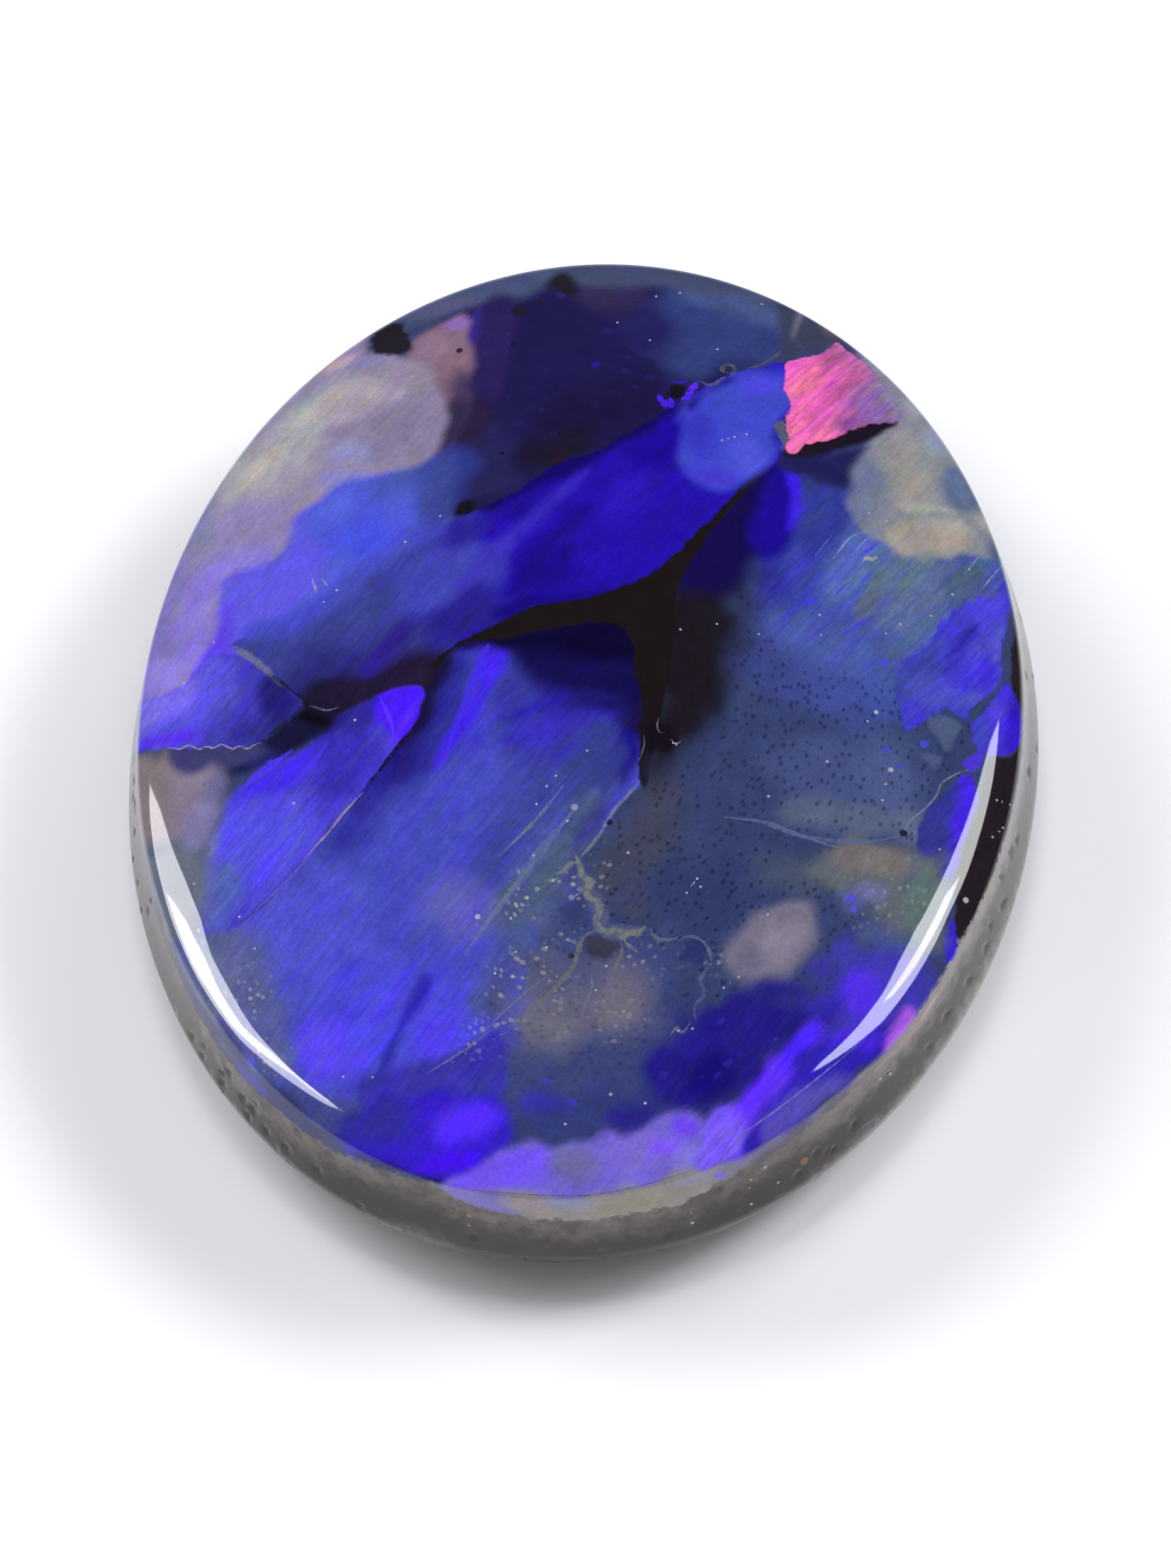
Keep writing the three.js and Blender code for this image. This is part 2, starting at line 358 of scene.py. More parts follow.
           (0.2, 1.15), (0.75, 1.5), (1.05, 1.85), (1.35, 2.3), (1.6, 2.7), (1.85, 3.15), (2.1, 3.4),
           (2.28, 3.7), (2.2, 4.1), (2.3, 4.45), (2.25, 4.7)], soft=0.045, silk=0.2, shades=(
        ("3a4192", [(-4.8, 0.4), (-3.9, 1.1), (-2.7, 2.1), (-1.9, 2.5), (-1.5, 1.9), (-1.9, 1), (-1.7, 0.2),
                    (-2, -0.4), (-3.3, -0.9)], 0.9),
        ("2c2c78", [(-3.9, -0.2), (-3.2, 0.3), (-2.3, 0.5), (-1.8, 0.3), (-1.9, -0.1), (-2.6, -0.6),
                    (-3.4, -0.8)]),
        ("1d1730", [(-3.6, -0.5), (-3.3, -0.2), (-2.8, -0.12), (-2.6, -0.4), (-3, -0.8)], 0.3),
        ("221836", [(-3.1, -0.3), (-2.4, -0.02), (-1.9, 0.2), (-1.7, 0.1), (-2.2, -0.35),
                    (-2.9, -0.65)], 0.3),
        ("2d2088", [(-2.2, 0.75), (-2.1, 0.6), (-2.5, -0.1), (-2.65, 0)], 0.22),
        ("4144b2", [(-2.4, 1.3), (-1.9, 1.8), (-1.3, 1.7), (-1.2, 1.3), (-1.8, 0.8), (-2.3, 0.8)]),
        ("2a2590", oval(-1.65, 2.05, 0.35, 0.18, 15), 0.3),
        ("3a2abc", oval(-0.75, 2.3, 0.1, 0.95, -37), 0.2, 0.8),
        ("3f34bc", oval(-1.3, 1.55, 0.1, 0.5, -37), 0.2, 0.8),
        ("28218a", [(-1.8, 0.9), (-1.2, 1.2), (-0.8, 0.9), (-1.5, 0.4), (-1.9, 0.3)], 0.4),
        ("1c0d86", oval(-0.45, 2, 0.12, 0.6, -37), 0.3),
        ("1e0f8c", oval(-0.9, 2.45, 0.1, 0.3, -37), 0.2),
        ("180a7a", [(-1.1, 0.8), (-0.6, 1.05), (0.2, 1.25), (0.2, 1), (-0.7, 0.7)], 0.25),
        ("2c18b4", oval(0.35, 2.75, 0.25, 0.5, -37), 0.4),
        ("1d0b96", [(0.4, 3.6), (0.9, 4.1), (1.1, 4), (0.9, 3.3), (0.5, 3.2)], 0.4),
        ("3f45c4", [(0.95, 4.3), (1.4, 4.8), (2.2, 5.2), (2.25, 4.4), (1.6, 4.2), (1.1, 4)], 0.4),
        ("140963", [(-1.35, 2.35), (-0.5, 2.9), (0.2, 3.45), (0.85, 4.05), (0.9, 4.35), (0.2, 4),
                    (-0.5, 3.35), (-1.4, 2.75)], 0.2),
        ("1b0c86", [(-1, 1), (-0.2, 1.3), (-0.3, 1.85), (-0.9, 1.6)], 0.3),
    )),
    Patch("band_haze", "464cc0",
          [(-1.85, 2.32), (-2.45, 1.98), (-2.95, 1.56), (-3.3, 1.18), (-3.75, 0.9), (-4.15, 0.74),
           (-4.2, 0.52), (-3.7, 0.62), (-3.2, 0.85), (-2.8, 1.28), (-2.3, 1.72), (-1.8, 2.02)], soft=0.32,
           ragged=0.12, silk=0.15),
    Patch("band_shadow", "1b1372",
          [(0.98, 4.3), (1.25, 4.62), (1.5, 4.84), (1.5, 4.66), (1.28, 4.42), (1.1, 4.2)],
           soft=0.16, silk=0.1),
    Patch("blue_bubble", "4049c6",
          [(0.98, 3.9), (0.95, 3.45), (1.08, 3.15), (1.28, 2.99), (1.5, 2.92), (1.72, 2.98), (1.9, 3.2),
           (2.08, 3.42), (2.2, 3.75), (2.13, 4.15), (2.25, 4.45), (2.22, 4.9), (1.9, 4.95), (1.5, 4.75),
           (1.15, 4.4)], soft=0.18, silk=0.08, shades=(
        ("4e53d4", oval(1.85, 3.5, 0.2, 0.35, 20), 0.3),
        ("453dcc", oval(1.4, 3.1, 0.3, 0.15), 0.2),
        ("3738be", oval(1.15, 3.9, 0.2, 0.55, 10), 0.35),
        ("2f3798", oval(2.14, 3.95, 0.06, 0.2), 0.12),
        ("4946d4", oval(1.95, 4.8, 0.3, 0.15, 20), 0.2),
    )),
    Patch("grey_sliver", "565b74",
          [(2.12, 4.15), (2.2, 3.95), (2.28, 3.68), (2.36, 3.78), (2.3, 4), (2.25, 4.2)],
           soft=0.06, silk=0.0),
    Patch("shell_rim", "858498",
          [(3.1, 5.7), (3.3, 5.4), (3.5, 5), (3.75, 4.6), (4, 4.6), (4.4, 5), (4.2, 5.9), (3.2, 6.4)],
           soft=0.2, silk=0.1, shades=(
        ("9c9fae", oval(4.1, 5, 0.25, 0.35, 40), 0.3),
    )),
    Patch("slate_above_pink", "3a3f58",
          [(2.15, 5.25), (2.35, 5.45), (2.65, 5.62), (2.85, 5.85), (3.1, 6.1), (2.6, 6.7), (2, 6.7),
           (2.05, 5.8)], soft=0.16, silk=0.1, shades=(
        ("5f5662", oval(2.75, 6.2, 0.2, 0.3), 0.2),
        ("706f86", oval(2.28, 6.15, 0.05, 0.45, -8), 0.12),
    )),
    Patch("grey_shell", "868a92",
          [(3.66, 4.6), (3.85, 4.75), (4.1, 4.9), (4.4, 5), (4.9, 4.6), (5.6, 3.3), (5.4, 2.75),
           (5.1, 2.62), (4.75, 2.6), (4.4, 2.5), (4.05, 2.42), (3.75, 2.5), (3.3, 2.62), (3.17, 3),
           (3.13, 3.5), (3.3, 3.95), (3.5, 4.25)], soft=0.12, ragged=0.06, silk=0.14, shades=(
        ("6c7496", [(3.1, 3.8), (3.5, 3.8), (3.6, 3), (3.3, 2.6), (3, 3)], 0.4),
        ("94928e", oval(3.85, 3.85, 0.28, 0.6, 15), 0.4),
        ("a09a92", oval(3.95, 3.45, 0.12, 0.35, -20), 0.25),
        ("5d6d8e", [(4.35, 4), (4.7, 3.95), (4.9, 3.5), (4.6, 3.3), (4.35, 3.5)], 0.25),
        ("8e96b0", oval(4.25, 4.4, 0.2, 0.25), 0.3),
        ("a4a49c", oval(4.2, 3.2, 0.35, 0.08, 10), 0.15),
        ("4c5d82", [(5.02, 2.9), (5.2, 3.1), (5.7, 3), (5.3, 2.4), (5.05, 2.5)], 0.2),
        ("a0a09a", oval(5, 3.25, 0.15, 0.12), 0.2),
    )),
    Patch("dark_wedge", "1c1422",
          [(2.3, 3.8), (2.6, 4), (2.9, 4.2), (3.2, 4.45), (3.6, 4.62), (3.68, 4.52), (3.5, 4.3),
           (3.25, 4.05), (2.9, 3.82), (2.6, 3.42), (2.25, 3.4)], soft=0.1, ragged=0.02, silk=0.05, shades=(
        ("22225e", [(2.2, 3.6), (2.6, 3.6), (3.2, 3.85), (3.2, 3.3), (2.2, 3.2)], 0.2),
    )),
    Patch("navy_flank", "1f1f54",
          [(2.35, 3.5), (2.8, 3.75), (3.2, 3.95), (3.35, 4), (3.14, 3.6), (3.1, 3.3), (2.7, 3.3)],
           soft=0.22, silk=0.1),
    Patch("pink_patch", "ee6eb5",
          [(2.17, 5.2), (2.2, 5.27), (2.4, 5.38), (2.58, 5.48), (2.68, 5.6), (2.82, 5.82), (2.95, 5.68),
           (3.1, 5.6), (3.3, 5.42), (3.5, 5.1), (3.65, 4.85), (3.73, 4.65), (3.6, 4.52), (3.35, 4.42),
           (3.05, 4.22), (2.9, 4.05), (2.65, 3.92), (2.5, 3.82), (2.38, 3.67), (2.28, 3.78), (2.32, 3.95),
           (2.25, 4.15), (2.27, 4.35), (2.3, 4.5), (2.2, 4.8)], soft=0.04, ragged=0.035, silk=0.42, shades=(
        ("b862a2", [(2.75, 5.8), (2.8, 5.2), (2.8, 4.7), (3, 4.2), (3.9, 4.6), (3.4, 5.7)], 0.6),
        ("854d88", oval(3.15, 4.4, 0.25, 0.15, 30), 0.25),
        ("b84c8e", oval(2.82, 4.75, 0.06, 0.55, -35), 0.14, 0.8),
        ("c05a9c", oval(2.5, 4.9, 0.04, 0.4, -35), 0.12, 0.6),
        ("a4508c", oval(2.72, 4.3, 0.05, 0.3, -35), 0.12, 0.7),
        ("94609e", oval(3.3, 4.78, 0.3, 0.3, -20), 0.3),
        ("a05a98", oval(2.75, 5.72, 0.1, 0.15), 0.2),
        ("8a6ca2", [(3.25, 4.7), (3.3, 5.5), (3.8, 5), (3.8, 4.5), (3.4, 4.4)], 0.35),
        ("8880ae", oval(3.55, 5.1, 0.1, 0.3, 30), 0.2),
        ("a2508f", oval(2.75, 5.42, 0.14, 0.25, -30), 0.25),
    )),
    Patch("warm_shell", "9c9790",
          [(3.75, 2.68), (3.9, 2.85), (4.1, 2.95), (4.2, 3.1), (4.5, 3.13), (4.68, 3.1), (4.8, 2.9),
           (4.74, 2.72), (4.6, 2.6), (4.4, 2.5), (4.05, 2.42), (3.88, 2.42), (3.76, 2.52)], soft=0.16,
           ragged=0.08, silk=0.1, shades=(
        ("a89b94", oval(4.45, 2.8, 0.2, 0.15), 0.2),
        ("a3a39c", oval(4.5, 3.03, 0.2, 0.07), 0.15),
    )),
    Patch("violet_leaf", "413ccc",
          [(5.36, 2.42), (5.2, 2.28), (5.08, 2.05), (4.9, 1.94), (4.72, 1.8), (4.5, 1.5), (4.38, 1.3),
           (4.27, 1), (4.1, 0.82), (4, 0.72), (3.93, 0.45), (3.95, 0.25), (4.05, 0.1), (4.15, -0.2),
           (4.35, -0.05), (4.6, 0.2), (4.75, 0.12), (4.86, 0.1), (5, 0.32), (5.12, 0.5), (5.24, 0.66),
           (5.3, 0.95), (5.28, 1.35), (5.34, 1.9)], soft=0.06, ragged=0.06, silk=0.34, shades=(
        ("3c46a0", [(4.1, 0.8), (4.5, 1.3), (4.6, 1), (4.3, 0.5), (4.1, 0.2), (3.9, 0.4)], 0.3),
        ("4c48d2", [(4.95, 1.95), (5.2, 2.15), (5.3, 1.7), (5.28, 0.8), (5, 0.7), (4.85, 1.2)], 0.25),
        ("5f62d8", oval(5.22, 1.35, 0.04, 0.3, -10), 0.12, 0.7),
        ("4d50c0", oval(5, 0.4, 0.15, 0.15), 0.15),
        ("302c9c", oval(4.75, 1.2, 0.06, 0.35, -30), 0.14),
        ("3a34b8", oval(4.6, 0.75, 0.05, 0.35, -30), 0.14),
        ("4030d8", oval(5.12, 0.85, 0.13, 0.22), 0.15),
        ("4c4ec0", oval(4.5, 0.4, 0.3, 0.2), 0.3),
    )),
    Patch("violet_lobe", "4332d6",
          [(5.33, 0.72), (5.45, 0.74), (5.55, 0.6), (5.66, 0.4), (5.68, 0.15), (5.62, -0.05), (5.45, -0.28),
           (5.1, -0.3), (5, -0.1), (5, 0.1), (5.1, 0.3), (5.2, 0.45)], soft=0.04, ragged=0.05, silk=0.3,
           shades=(
        ("341cc4", [(5.5, 0.7), (5.8, 0.4), (5.7, -0.2), (5.45, -0.2), (5.45, 0.3)], 0.15),
        ("5040d8", oval(5.25, 0.35, 0.12, 0.15), 0.15),
        ("4248b8", oval(5.08, 0, 0.1, 0.25), 0.15),
    )),
    Patch("violet_foot", "4326de",
          [(5.02, -0.68), (4.85, -0.8), (4.7, -0.95), (4.54, -1.25), (4.4, -1.5), (4.42, -1.8),
           (4.52, -1.97), (4.7, -2.15), (4.87, -2.12), (4.97, -1.7), (5.07, -1.3), (5.12, -0.9)],
           ragged=0.05, silk=0.3, shades=(
        ("4549a4", [(4.3, -1.4), (4.6, -1.3), (4.75, -1.8), (4.8, -2.3), (4.4, -2.1), (4.2, -1.7)], 0.2),
        ("2a2f80", oval(4.8, -0.92, 0.15, 0.1, 40), 0.15),
        ("34388e", [(4.45, -1.3), (4.75, -0.85), (4.86, -1.2), (4.8, -1.9), (4.6, -2.2), (4.3, -1.8)], 0.2),
    )),
    Patch("violet_toe", "4a34d0",
          [(4.88, -0.5), (5, -0.38), (5.15, -0.3), (5.12, -0.5), (5, -0.62)], silk=0.2),
    Patch("grey_facet", "4d5a80",
          [(4.4, -0.02), (4.6, 0.08), (4.83, 0.02), (4.78, -0.2), (4.68, -0.42), (4.55, -0.25)],
           soft=0.08, silk=0.2),
    Patch("grey_tooth", "4c5880",
          [(4.38, -0.52), (4.6, -0.48), (4.62, -0.6), (4.55, -0.72), (4.45, -0.64)], soft=0.08, silk=0.2),
    Patch("dark_strip", "241d24",
          [(5.5, 2.3), (5.46, 1.9), (5.42, 1.3), (5.46, 0.78), (5.6, 0.5), (5.68, 0.1), (5.5, -0.25),
           (5.25, -0.35), (5.18, -0.8), (5.1, -1.3), (5, -1.7), (4.95, -2.15), (4.97, -2.5), (5, -2.95),
           (5.2, -2.85), (5.5, -2.2), (5.8, -1.4), (5.95, -0.6), (5.95, 0.6), (5.85, 1.5), (5.7, 2.2)],
           soft=0.06, silk=0.0, shades=(
        ("3b3a52", oval(5.55, 2, 0.15, 0.35), 0.2),
    )),
    Patch("deep_violet_sliver", "3a24cc",
          [(4.93, -2.65), (5, -2.75), (5.06, -3), (5.16, -3.2), (5.12, -3.4), (4.95, -3.25),
           (4.88, -2.95)], silk=0.2),
    Patch("violet_crumb", "7a6ed8", oval(5.05, -3.28, 0.06, 0.08), silk=0.0),
    Patch("olive_stain", "5f6670",
          [(3.2, -2.2), (3.5, -1.9), (4, -1.8), (4.4, -1.85), (4.75, -2.1), (4.8, -2.6), (4.7, -3.1),
           (4.35, -3), (3.7, -2.7)], soft=0.35, ragged=0.2, silk=0.15, shades=(
        ("736c6e", oval(3.85, -2.1, 0.45, 0.2), 0.3),
        ("6d6e9c", oval(3.9, -2.52, 0.2, 0.12), 0.2),
        ("5b7072", oval(4.55, -2.6, 0.2, 0.6), 0.3),
        ("5a62a0", oval(3.65, -2.72, 0.15, 0.15), 0.2),
    )),
    Patch("left_gap", "17163a",
          [(-3.35, -0.5), (-2.9, -0.6), (-2.95, -0.85), (-3.3, -1.1), (-3.7, -1.3), (-4.2, -1.45),
           (-4.9, -1.35), (-5.3, -1.15), (-4.8, -0.95), (-4.2, -0.95), (-3.8, -0.9)], soft=0.18, silk=0.1,
           shades=(
        ("44446e", [(-5.4, -1), (-4.6, -1), (-4.3, -1.2), (-4.6, -1.5), (-5.4, -1.4)], 0.4),
        ("23266c", oval(-3.95, -1.22, 0.4, 0.12, -10), 0.3),
        ("0d0b12", oval(-3.2, -0.72, 0.25, 0.12, -25), 0.15),
    )),
    Patch("round_mist", "857a90", oval(-4.92, -1.72, 0.6, 0.68), soft=0.25, ragged=0.1, silk=0.0, shades=(
        ("83777d", [(-5.1, -1), (-5.1, -2.5), (-6.2, -2.6), (-6.2, -1)], 0.4),
        ("706c9a", oval(-4.38, -1.7, 0.14, 0.4), 0.3),
        ("7f79a8", oval(-4.5, -2.15, 0.2, 0.25), 0.3),
    )),
    Patch("mist_rim", "82777c",
          [(-5.3, -1.1), (-5.2, -2.2), (-5.6, -2.6), (-6.4, -2.4), (-6.4, -1.1)], soft=0.3, silk=0.0),
    Patch("teal_rim", "666e80",
          [(-5.4, -2.3), (-4.5, -2.5), (-4.35, -3), (-4.6, -3.6), (-5.2, -3.8), (-5.9, -2.6)], soft=0.4,
           ragged=0.2, silk=0.0),
    Patch("mist_foot", "7e79a8", oval(-4.55, -2.15, 0.2, 0.28, -20), soft=0.28, ragged=0.1, silk=0.05),
    Patch("left_lilac", "8f82dc",
          [(-5.7, 0.35), (-5.15, 0.3), (-5.08, -0.15), (-5.7, -0.2)], soft=0.25, silk=0.1),
    Patch("under_block", "3d3d6e",
          [(-5.02, -0.95), (-4, -1), (-3.8, -1.2), (-4.4, -1.36), (-4.9, -1.3)], soft=0.18,
           ragged=0.08, silk=0.1),
    Patch("blue_block", "413cb4",
          [(-5.05, -0.1), (-4.88, 0.15), (-4.75, 0.3), (-4.48, 0.33), (-4.25, 0.25), (-3.85, -0.1),
           (-3.4, -0.45), (-3.5, -0.65), (-3.7, -0.83), (-3.9, -1.02), (-4.25, -1.05), (-4.7, -1.03),
           (-5.1, -1), (-5.6, -0.97), (-6.4, -1), (-6.5, -0.4), (-5.5, -0.2)], ragged=0.04, silk=0.3,
           shades=(
        ("5a54de", [(-5, 0.3), (-4.4, 0.2), (-4.4, -0.5), (-5, -1), (-5.6, -0.9), (-5.6, -0.2)], 0.4),
        ("7a6cf0", [(-4.9, 0), (-4.9, -0.4), (-5.3, -0.6), (-5.8, -0.7), (-6.4, -0.2), (-5.3, 0.1)], 0.3),
        ("5a30f4", oval(-5.15, -0.85, 0.4, 0.12), 0.2),
        ("231e74", [(-3.3, -0.4), (-3.8, 0), (-4, -0.3), (-3.8, -0.9), (-3.5, -0.8)], 0.35),
        ("655ed0", oval(-5.9, -0.6, 0.25, 0.3), 0.3),
        ("302e88", oval(-4, -0.82, 0.35, 0.18, 30), 0.3),
    )),
    Patch("tan_sliver", "6e6c90",
          [(-4.42, 0.42), (-4.2, 0.32), (-4.02, 0.17), (-3.83, -0.04), (-3.9, -0.04), (-4.13, 0.16),
           (-4.34, 0.3)], soft=0.06, ragged=0.02, silk=0.0),
    Patch("big_field", "464bbb",
          [(-1.55, 0.27), (-1.4, 0.36), (-1.15, 0.39), (-0.75, 0.46), (-0.5, 0.56), (-0.15, 0.64),
           (0.1, 0.71), (0.35, 0.73), (0.52, 0.68), (0.66, 0.5), (0.7, 0.3), (0.7, 0.12), (0.78, -0.1),
           (0.86, -0.4), (0.88, -1), (0.93, -1.47), (0.85, -1.62), (0.7, -1.82), (0.55, -2.15), (0.4, -2.4),
           (0.28, -2.6), (0.4, -3), (0.55, -3.4), (0.6, -4), (0.4, -4.7), (-0.2, -5.3), (-0.9, -5.6),
           (-1.6, -6), (-2.4, -6.2), (-3.4, -5.9), (-4.2, -5.3), (-5, -4.2), (-4.9, -3.7), (-4.3, -3.6),
           (-3.9, -3.53), (-3.45, -3.1), (-3, -2.5), (-2.75, -2.1), (-2.35, -1.55), (-2.1, -1.1),
           (-1.93, -0.85), (-1.85, -0.4), (-1.7, 0)], soft=0.045, ragged=0.04, silk=0.24, shades=(
        ("35379c", [(-0.9, 0), (0.6, -0.4), (0.8, -1.3), (0, -1.5), (-0.8, -1.1)]),
        ("2c2b94", [(-2.4, -0.4), (-1.5, 0.4), (-1.3, -0.6), (-1.8, -1.6), (-2.3, -2.2),
                    (-2.8, -2.4)], 0.6),
        ("201874", [(-2.3, -0.3), (-1.6, 0.1), (-1.75, -1), (-2, -1.6), (-2.3, -1.5)], 0.4),
        ("17122e", [(-2.1, -0.2), (-1.62, 0.3), (-1.56, -0.1), (-1.74, -0.6), (-1.9, -1),
                    (-2.05, -1.1)], 0.2, 0.9),
        ("181250", [(-1.6, 0.6), (0.8, 0.9), (0.9, -0.2), (0.3, -0.3), (-0.4, -0.2), (-0.8, 0.1),
                    (-1.1, 0.25)], 0.35),
        ("0f0a38", [(-0.7, 0.65), (0.6, 0.8), (0.8, 0.1), (0.2, -0.05), (-0.4, 0.1)], 0.3),
        ("171342", [(0.4, 0.3), (0.9, 0.2), (1, -0.8), (0.7, -0.8), (0.4, -0.3)], 0.3),
        ("221c80", [(-0.6, 0), (0.3, -0.1), (0.6, -0.6), (0.2, -0.8), (-0.3, -0.5)], 0.4),
        ("3a2cc4", oval(-0.1, -0.75, 0.75, 0.16, 24), 0.3, 0.8),
        ("3a2cc4", oval(0.1, -1.15, 0.6, 0.08, 32), 0.25, 0.6),
        ("4226ea", [(-1.2, 0.3), (-0.9, 0.3), (-0.86, 0.05), (-1, -0.3), (-1.25, -0.9), (-1.5, -1.15),
                    (-1.42, -0.7), (-1.25, -0.3)], 0.16),
        ("4326dc", oval(-1.45, -1.05, 0.06, 0.45, -22), 0.14, 0.9),
        ("3c34c8", oval(-1.05, -0.9, 0.06, 0.6, -28), 0.2, 0.7),
        ("15097c", oval(0.72, -1.15, 0.14, 0.4), 0.2),
        ("353f86", [(0.1, -0.9), (0.5, -0.8), (0.7, -1.5), (0.4, -2.3), (0.1, -2.2), (0, -1.5)], 0.4),
        ("5a6a92", oval(0.3, -1.9, 0.05, 0.3, -25), 0.14, 0.7),
        ("3c4498", [(-0.6, -1.6), (0, -1.4), (-0.2, -2.4), (-0.9, -3), (-1.1, -2.6)]),
        ("4a5882", [(0.2, -1.9), (0.4, -2.3), (0.2, -3.2), (-0.3, -3.8), (-0.8, -3.4), (-0.5, -2.7)]),
        ("5d5eb8", oval(-1.17, -3.3, 0.38, 0.36), 0.45),
        ("5052cc", [(-3, -2.8), (-2.3, -3.3), (-2.2, -4), (-3.3, -4.4), (-4, -3.6)], 0.6),
        ("565d9c", [(-5, -3.6), (-3.9, -3.5), (-3.4, -4.2), (-3, -5.3), (-3.4, -6.2), (-4.8, -5)]),
        ("5f6690", oval(-4.2, -4.3, 0.5, 0.5)),
        ("3a3e72", [(-5.3, -3.2), (-4.95, -3.9), (-4.3, -4.8), (-3.5, -5.6), (-3, -6.1), (-3.3, -6.4),
                    (-4.4, -5.6), (-5.3, -4.5), (-5.8, -3.3)], 0.3),
        ("42498c", [(-3.6, -5.5), (-2.7, -5.65), (-2, -5.85), (-2.6, -6.4), (-3.4, -6.3)], 0.4),
        ("4a48d8", [(-2.6, -4), (-1.8, -4), (-0.9, -4.2), (-0.8, -5), (-1.5, -5.4), (-2.6, -5.5),
                    (-3, -4.8)]),
        ("5a48f2", [(-3, -4.9), (-2.4, -4.8), (-2.2, -5.3), (-2.8, -5.5)], 0.35),
        ("524ee8", oval(-2.05, -4.7, 0.12, 0.6, -30), 0.25),
        ("5040e8", oval(-1.25, -5, 0.2, 0.35, -30), 0.25),
        ("2f2cae", [(-1.5, -4.2), (-1.38, -4.25), (-1.4, -4.5), (-1.65, -4.9), (-1.85, -5.5), (-1.95, -5.4),
                    (-1.72, -4.7)], 0.14),
        ("363a9c", oval(-1.15, -5.75, 0.6, 0.14, 15), 0.25),
        ("4644c0", oval(-1.9, -5.6, 0.45, 0.1, 10), 0.2),
        ("140f4e", [(-1.5, 0.6), (0.8, 0.9), (0.9, -0.3), (0.45, -0.35), (-0.2, -0.25), (-0.6, -0.05),
                    (-0.9, 0.25), (-1.3, 0.35)], 0.3),
        ("2a1fae", oval(-0.45, -0.55, 0.45, 0.1, 25), 0.22),
        ("0c0730", [(-1, 0.5), (0.6, 0.8), (0.75, 0.3), (0, 0.22), (-0.8, 0.25)], 0.25),
        ("1a1150", oval(-1.38, 0.36, 0.2, 0.1, 20), 0.15),
        ("4a3ee8", oval(-1.85, -4.5, 0.1, 0.5, -25), 0.2),
        ("1a1660", oval(0.4, -0.42, 0.28, 0.16), 0.2),
        ("4a5298", oval(-0.6, -4.25, 0.25, 0.4, -25), 0.35),
        ("3b4287", oval(0.35, -2.15, 0.12, 0.35, -25), 0.2),
    )),
    Patch("slate_foot", "3c4678",
          [(0.34, -2.7), (0.12, -3), (-0.15, -3.6), (-0.4, -4.2), (-0.55, -4.8), (-0.9, -5.3), (-0.6, -5.7),
           (0.3, -5.8), (1.3, -5.3), (1.8, -4.6), (1.5, -3.7), (0.9, -3.35), (0.65, -3)], soft=0.5,
           ragged=0.3, silk=0.06, dots=0.5, shades=(
        ("4d5a80", oval(-0.2, -3.3, 0.25, 0.5, -30), 0.35),
        ("353f70", oval(0.3, -3.2, 0.2, 0.3), 0.3),
        ("58597a", [(-0.35, -4.1), (0.3, -3.95), (1.1, -4), (1.2, -4.6), (0.7, -4.9), (-0.2, -5),
                    (-0.5, -4.7)], 0.6),
        ("6e697c", oval(0.95, -4.35, 0.33, 0.35), 0.4),
        ("69687c", oval(0.1, -4.75, 0.4, 0.25), 0.45),
        ("46479c", oval(-0.45, -4.95, 0.2, 0.15), 0.25),
    )),
    Patch("low_shadow", "3934a8",
          [(-2.1, -5.55), (-1.7, -5.34), (-1.2, -5.17), (-0.9, -5.13), (-0.55, -4.88), (-0.35, -5.05),
           (-0.3, -5.6), (-1, -5.8), (-2, -5.9)], soft=0.14, ragged=0.12, silk=0.25),
    Patch("royal_foot", "341fc4",
          [(-0.35, -6.3), (-0.6, -6.55), (-0.8, -6.72), (-1.05, -6.88), (-1.5, -6.78), (-2.2, -6.6),
           (-2.5, -6.3), (-2, -5.8), (-1.3, -5.65), (-0.7, -5.6), (-0.3, -5.8), (-0.2, -6.1)], soft=0.18,
           ragged=0.08, silk=0.2, shades=(
        ("552fff", oval(-0.8, -6.03, 0.35, 0.2, 20), 0.35),
        ("4712f9", oval(-1, -6.55, 0.45, 0.14, 15), 0.22),
        ("312d9e", [(-2.7, -6.4), (-1.6, -6.3), (-1.7, -5.7), (-2.4, -5.8)], 0.35),
        ("20196b", [(-1, -6.82), (-1.5, -6.68), (-2.2, -6.5), (-1.9, -6.95), (-1.2, -7)], 0.12),
        ("343999", oval(-0.6, -5.55, 0.4, 0.15), 0.25),
    )),
    Patch("lilac_band", "7467d1",
          [(-1.05, -6.87), (-0.78, -6.7), (-0.5, -6.48), (-0.3, -6.35), (0.15, -6.2), (0.6, -6.2),
           (0.95, -6.08), (1.4, -5.9), (1.8, -5.68), (2.1, -5.75), (2.4, -6), (2.6, -6.5), (1.7, -6.9),
           (0.7, -7.1), (-0.5, -7.15)], soft=0.13, ragged=0.1, shades=(
        ("7456f5", [(-0.9, -6.85), (-0.4, -6.4), (0.2, -6.25), (0.3, -6.5), (-0.2, -6.9)], 0.25),
        ("6e6ba6", oval(0.55, -6.5, 0.3, 0.2), 0.3),
        ("806dd9", oval(1.35, -6.25, 0.3, 0.25), 0.3),
        ("8058ff", oval(1.7, -6.15, 0.2, 0.12), 0.2),
        ("6e48f3", oval(1.9, -5.85, 0.14, 0.12), 0.15),
        ("847cdf", oval(2.05, -6.3, 0.25, 0.2), 0.25),
    )),
    Patch("cream_band", "918c87",
          [(-1.15, -6.98), (-0.6, -6.92), (0, -6.88), (0.6, -6.85), (1.2, -6.72), (1.6, -6.55),
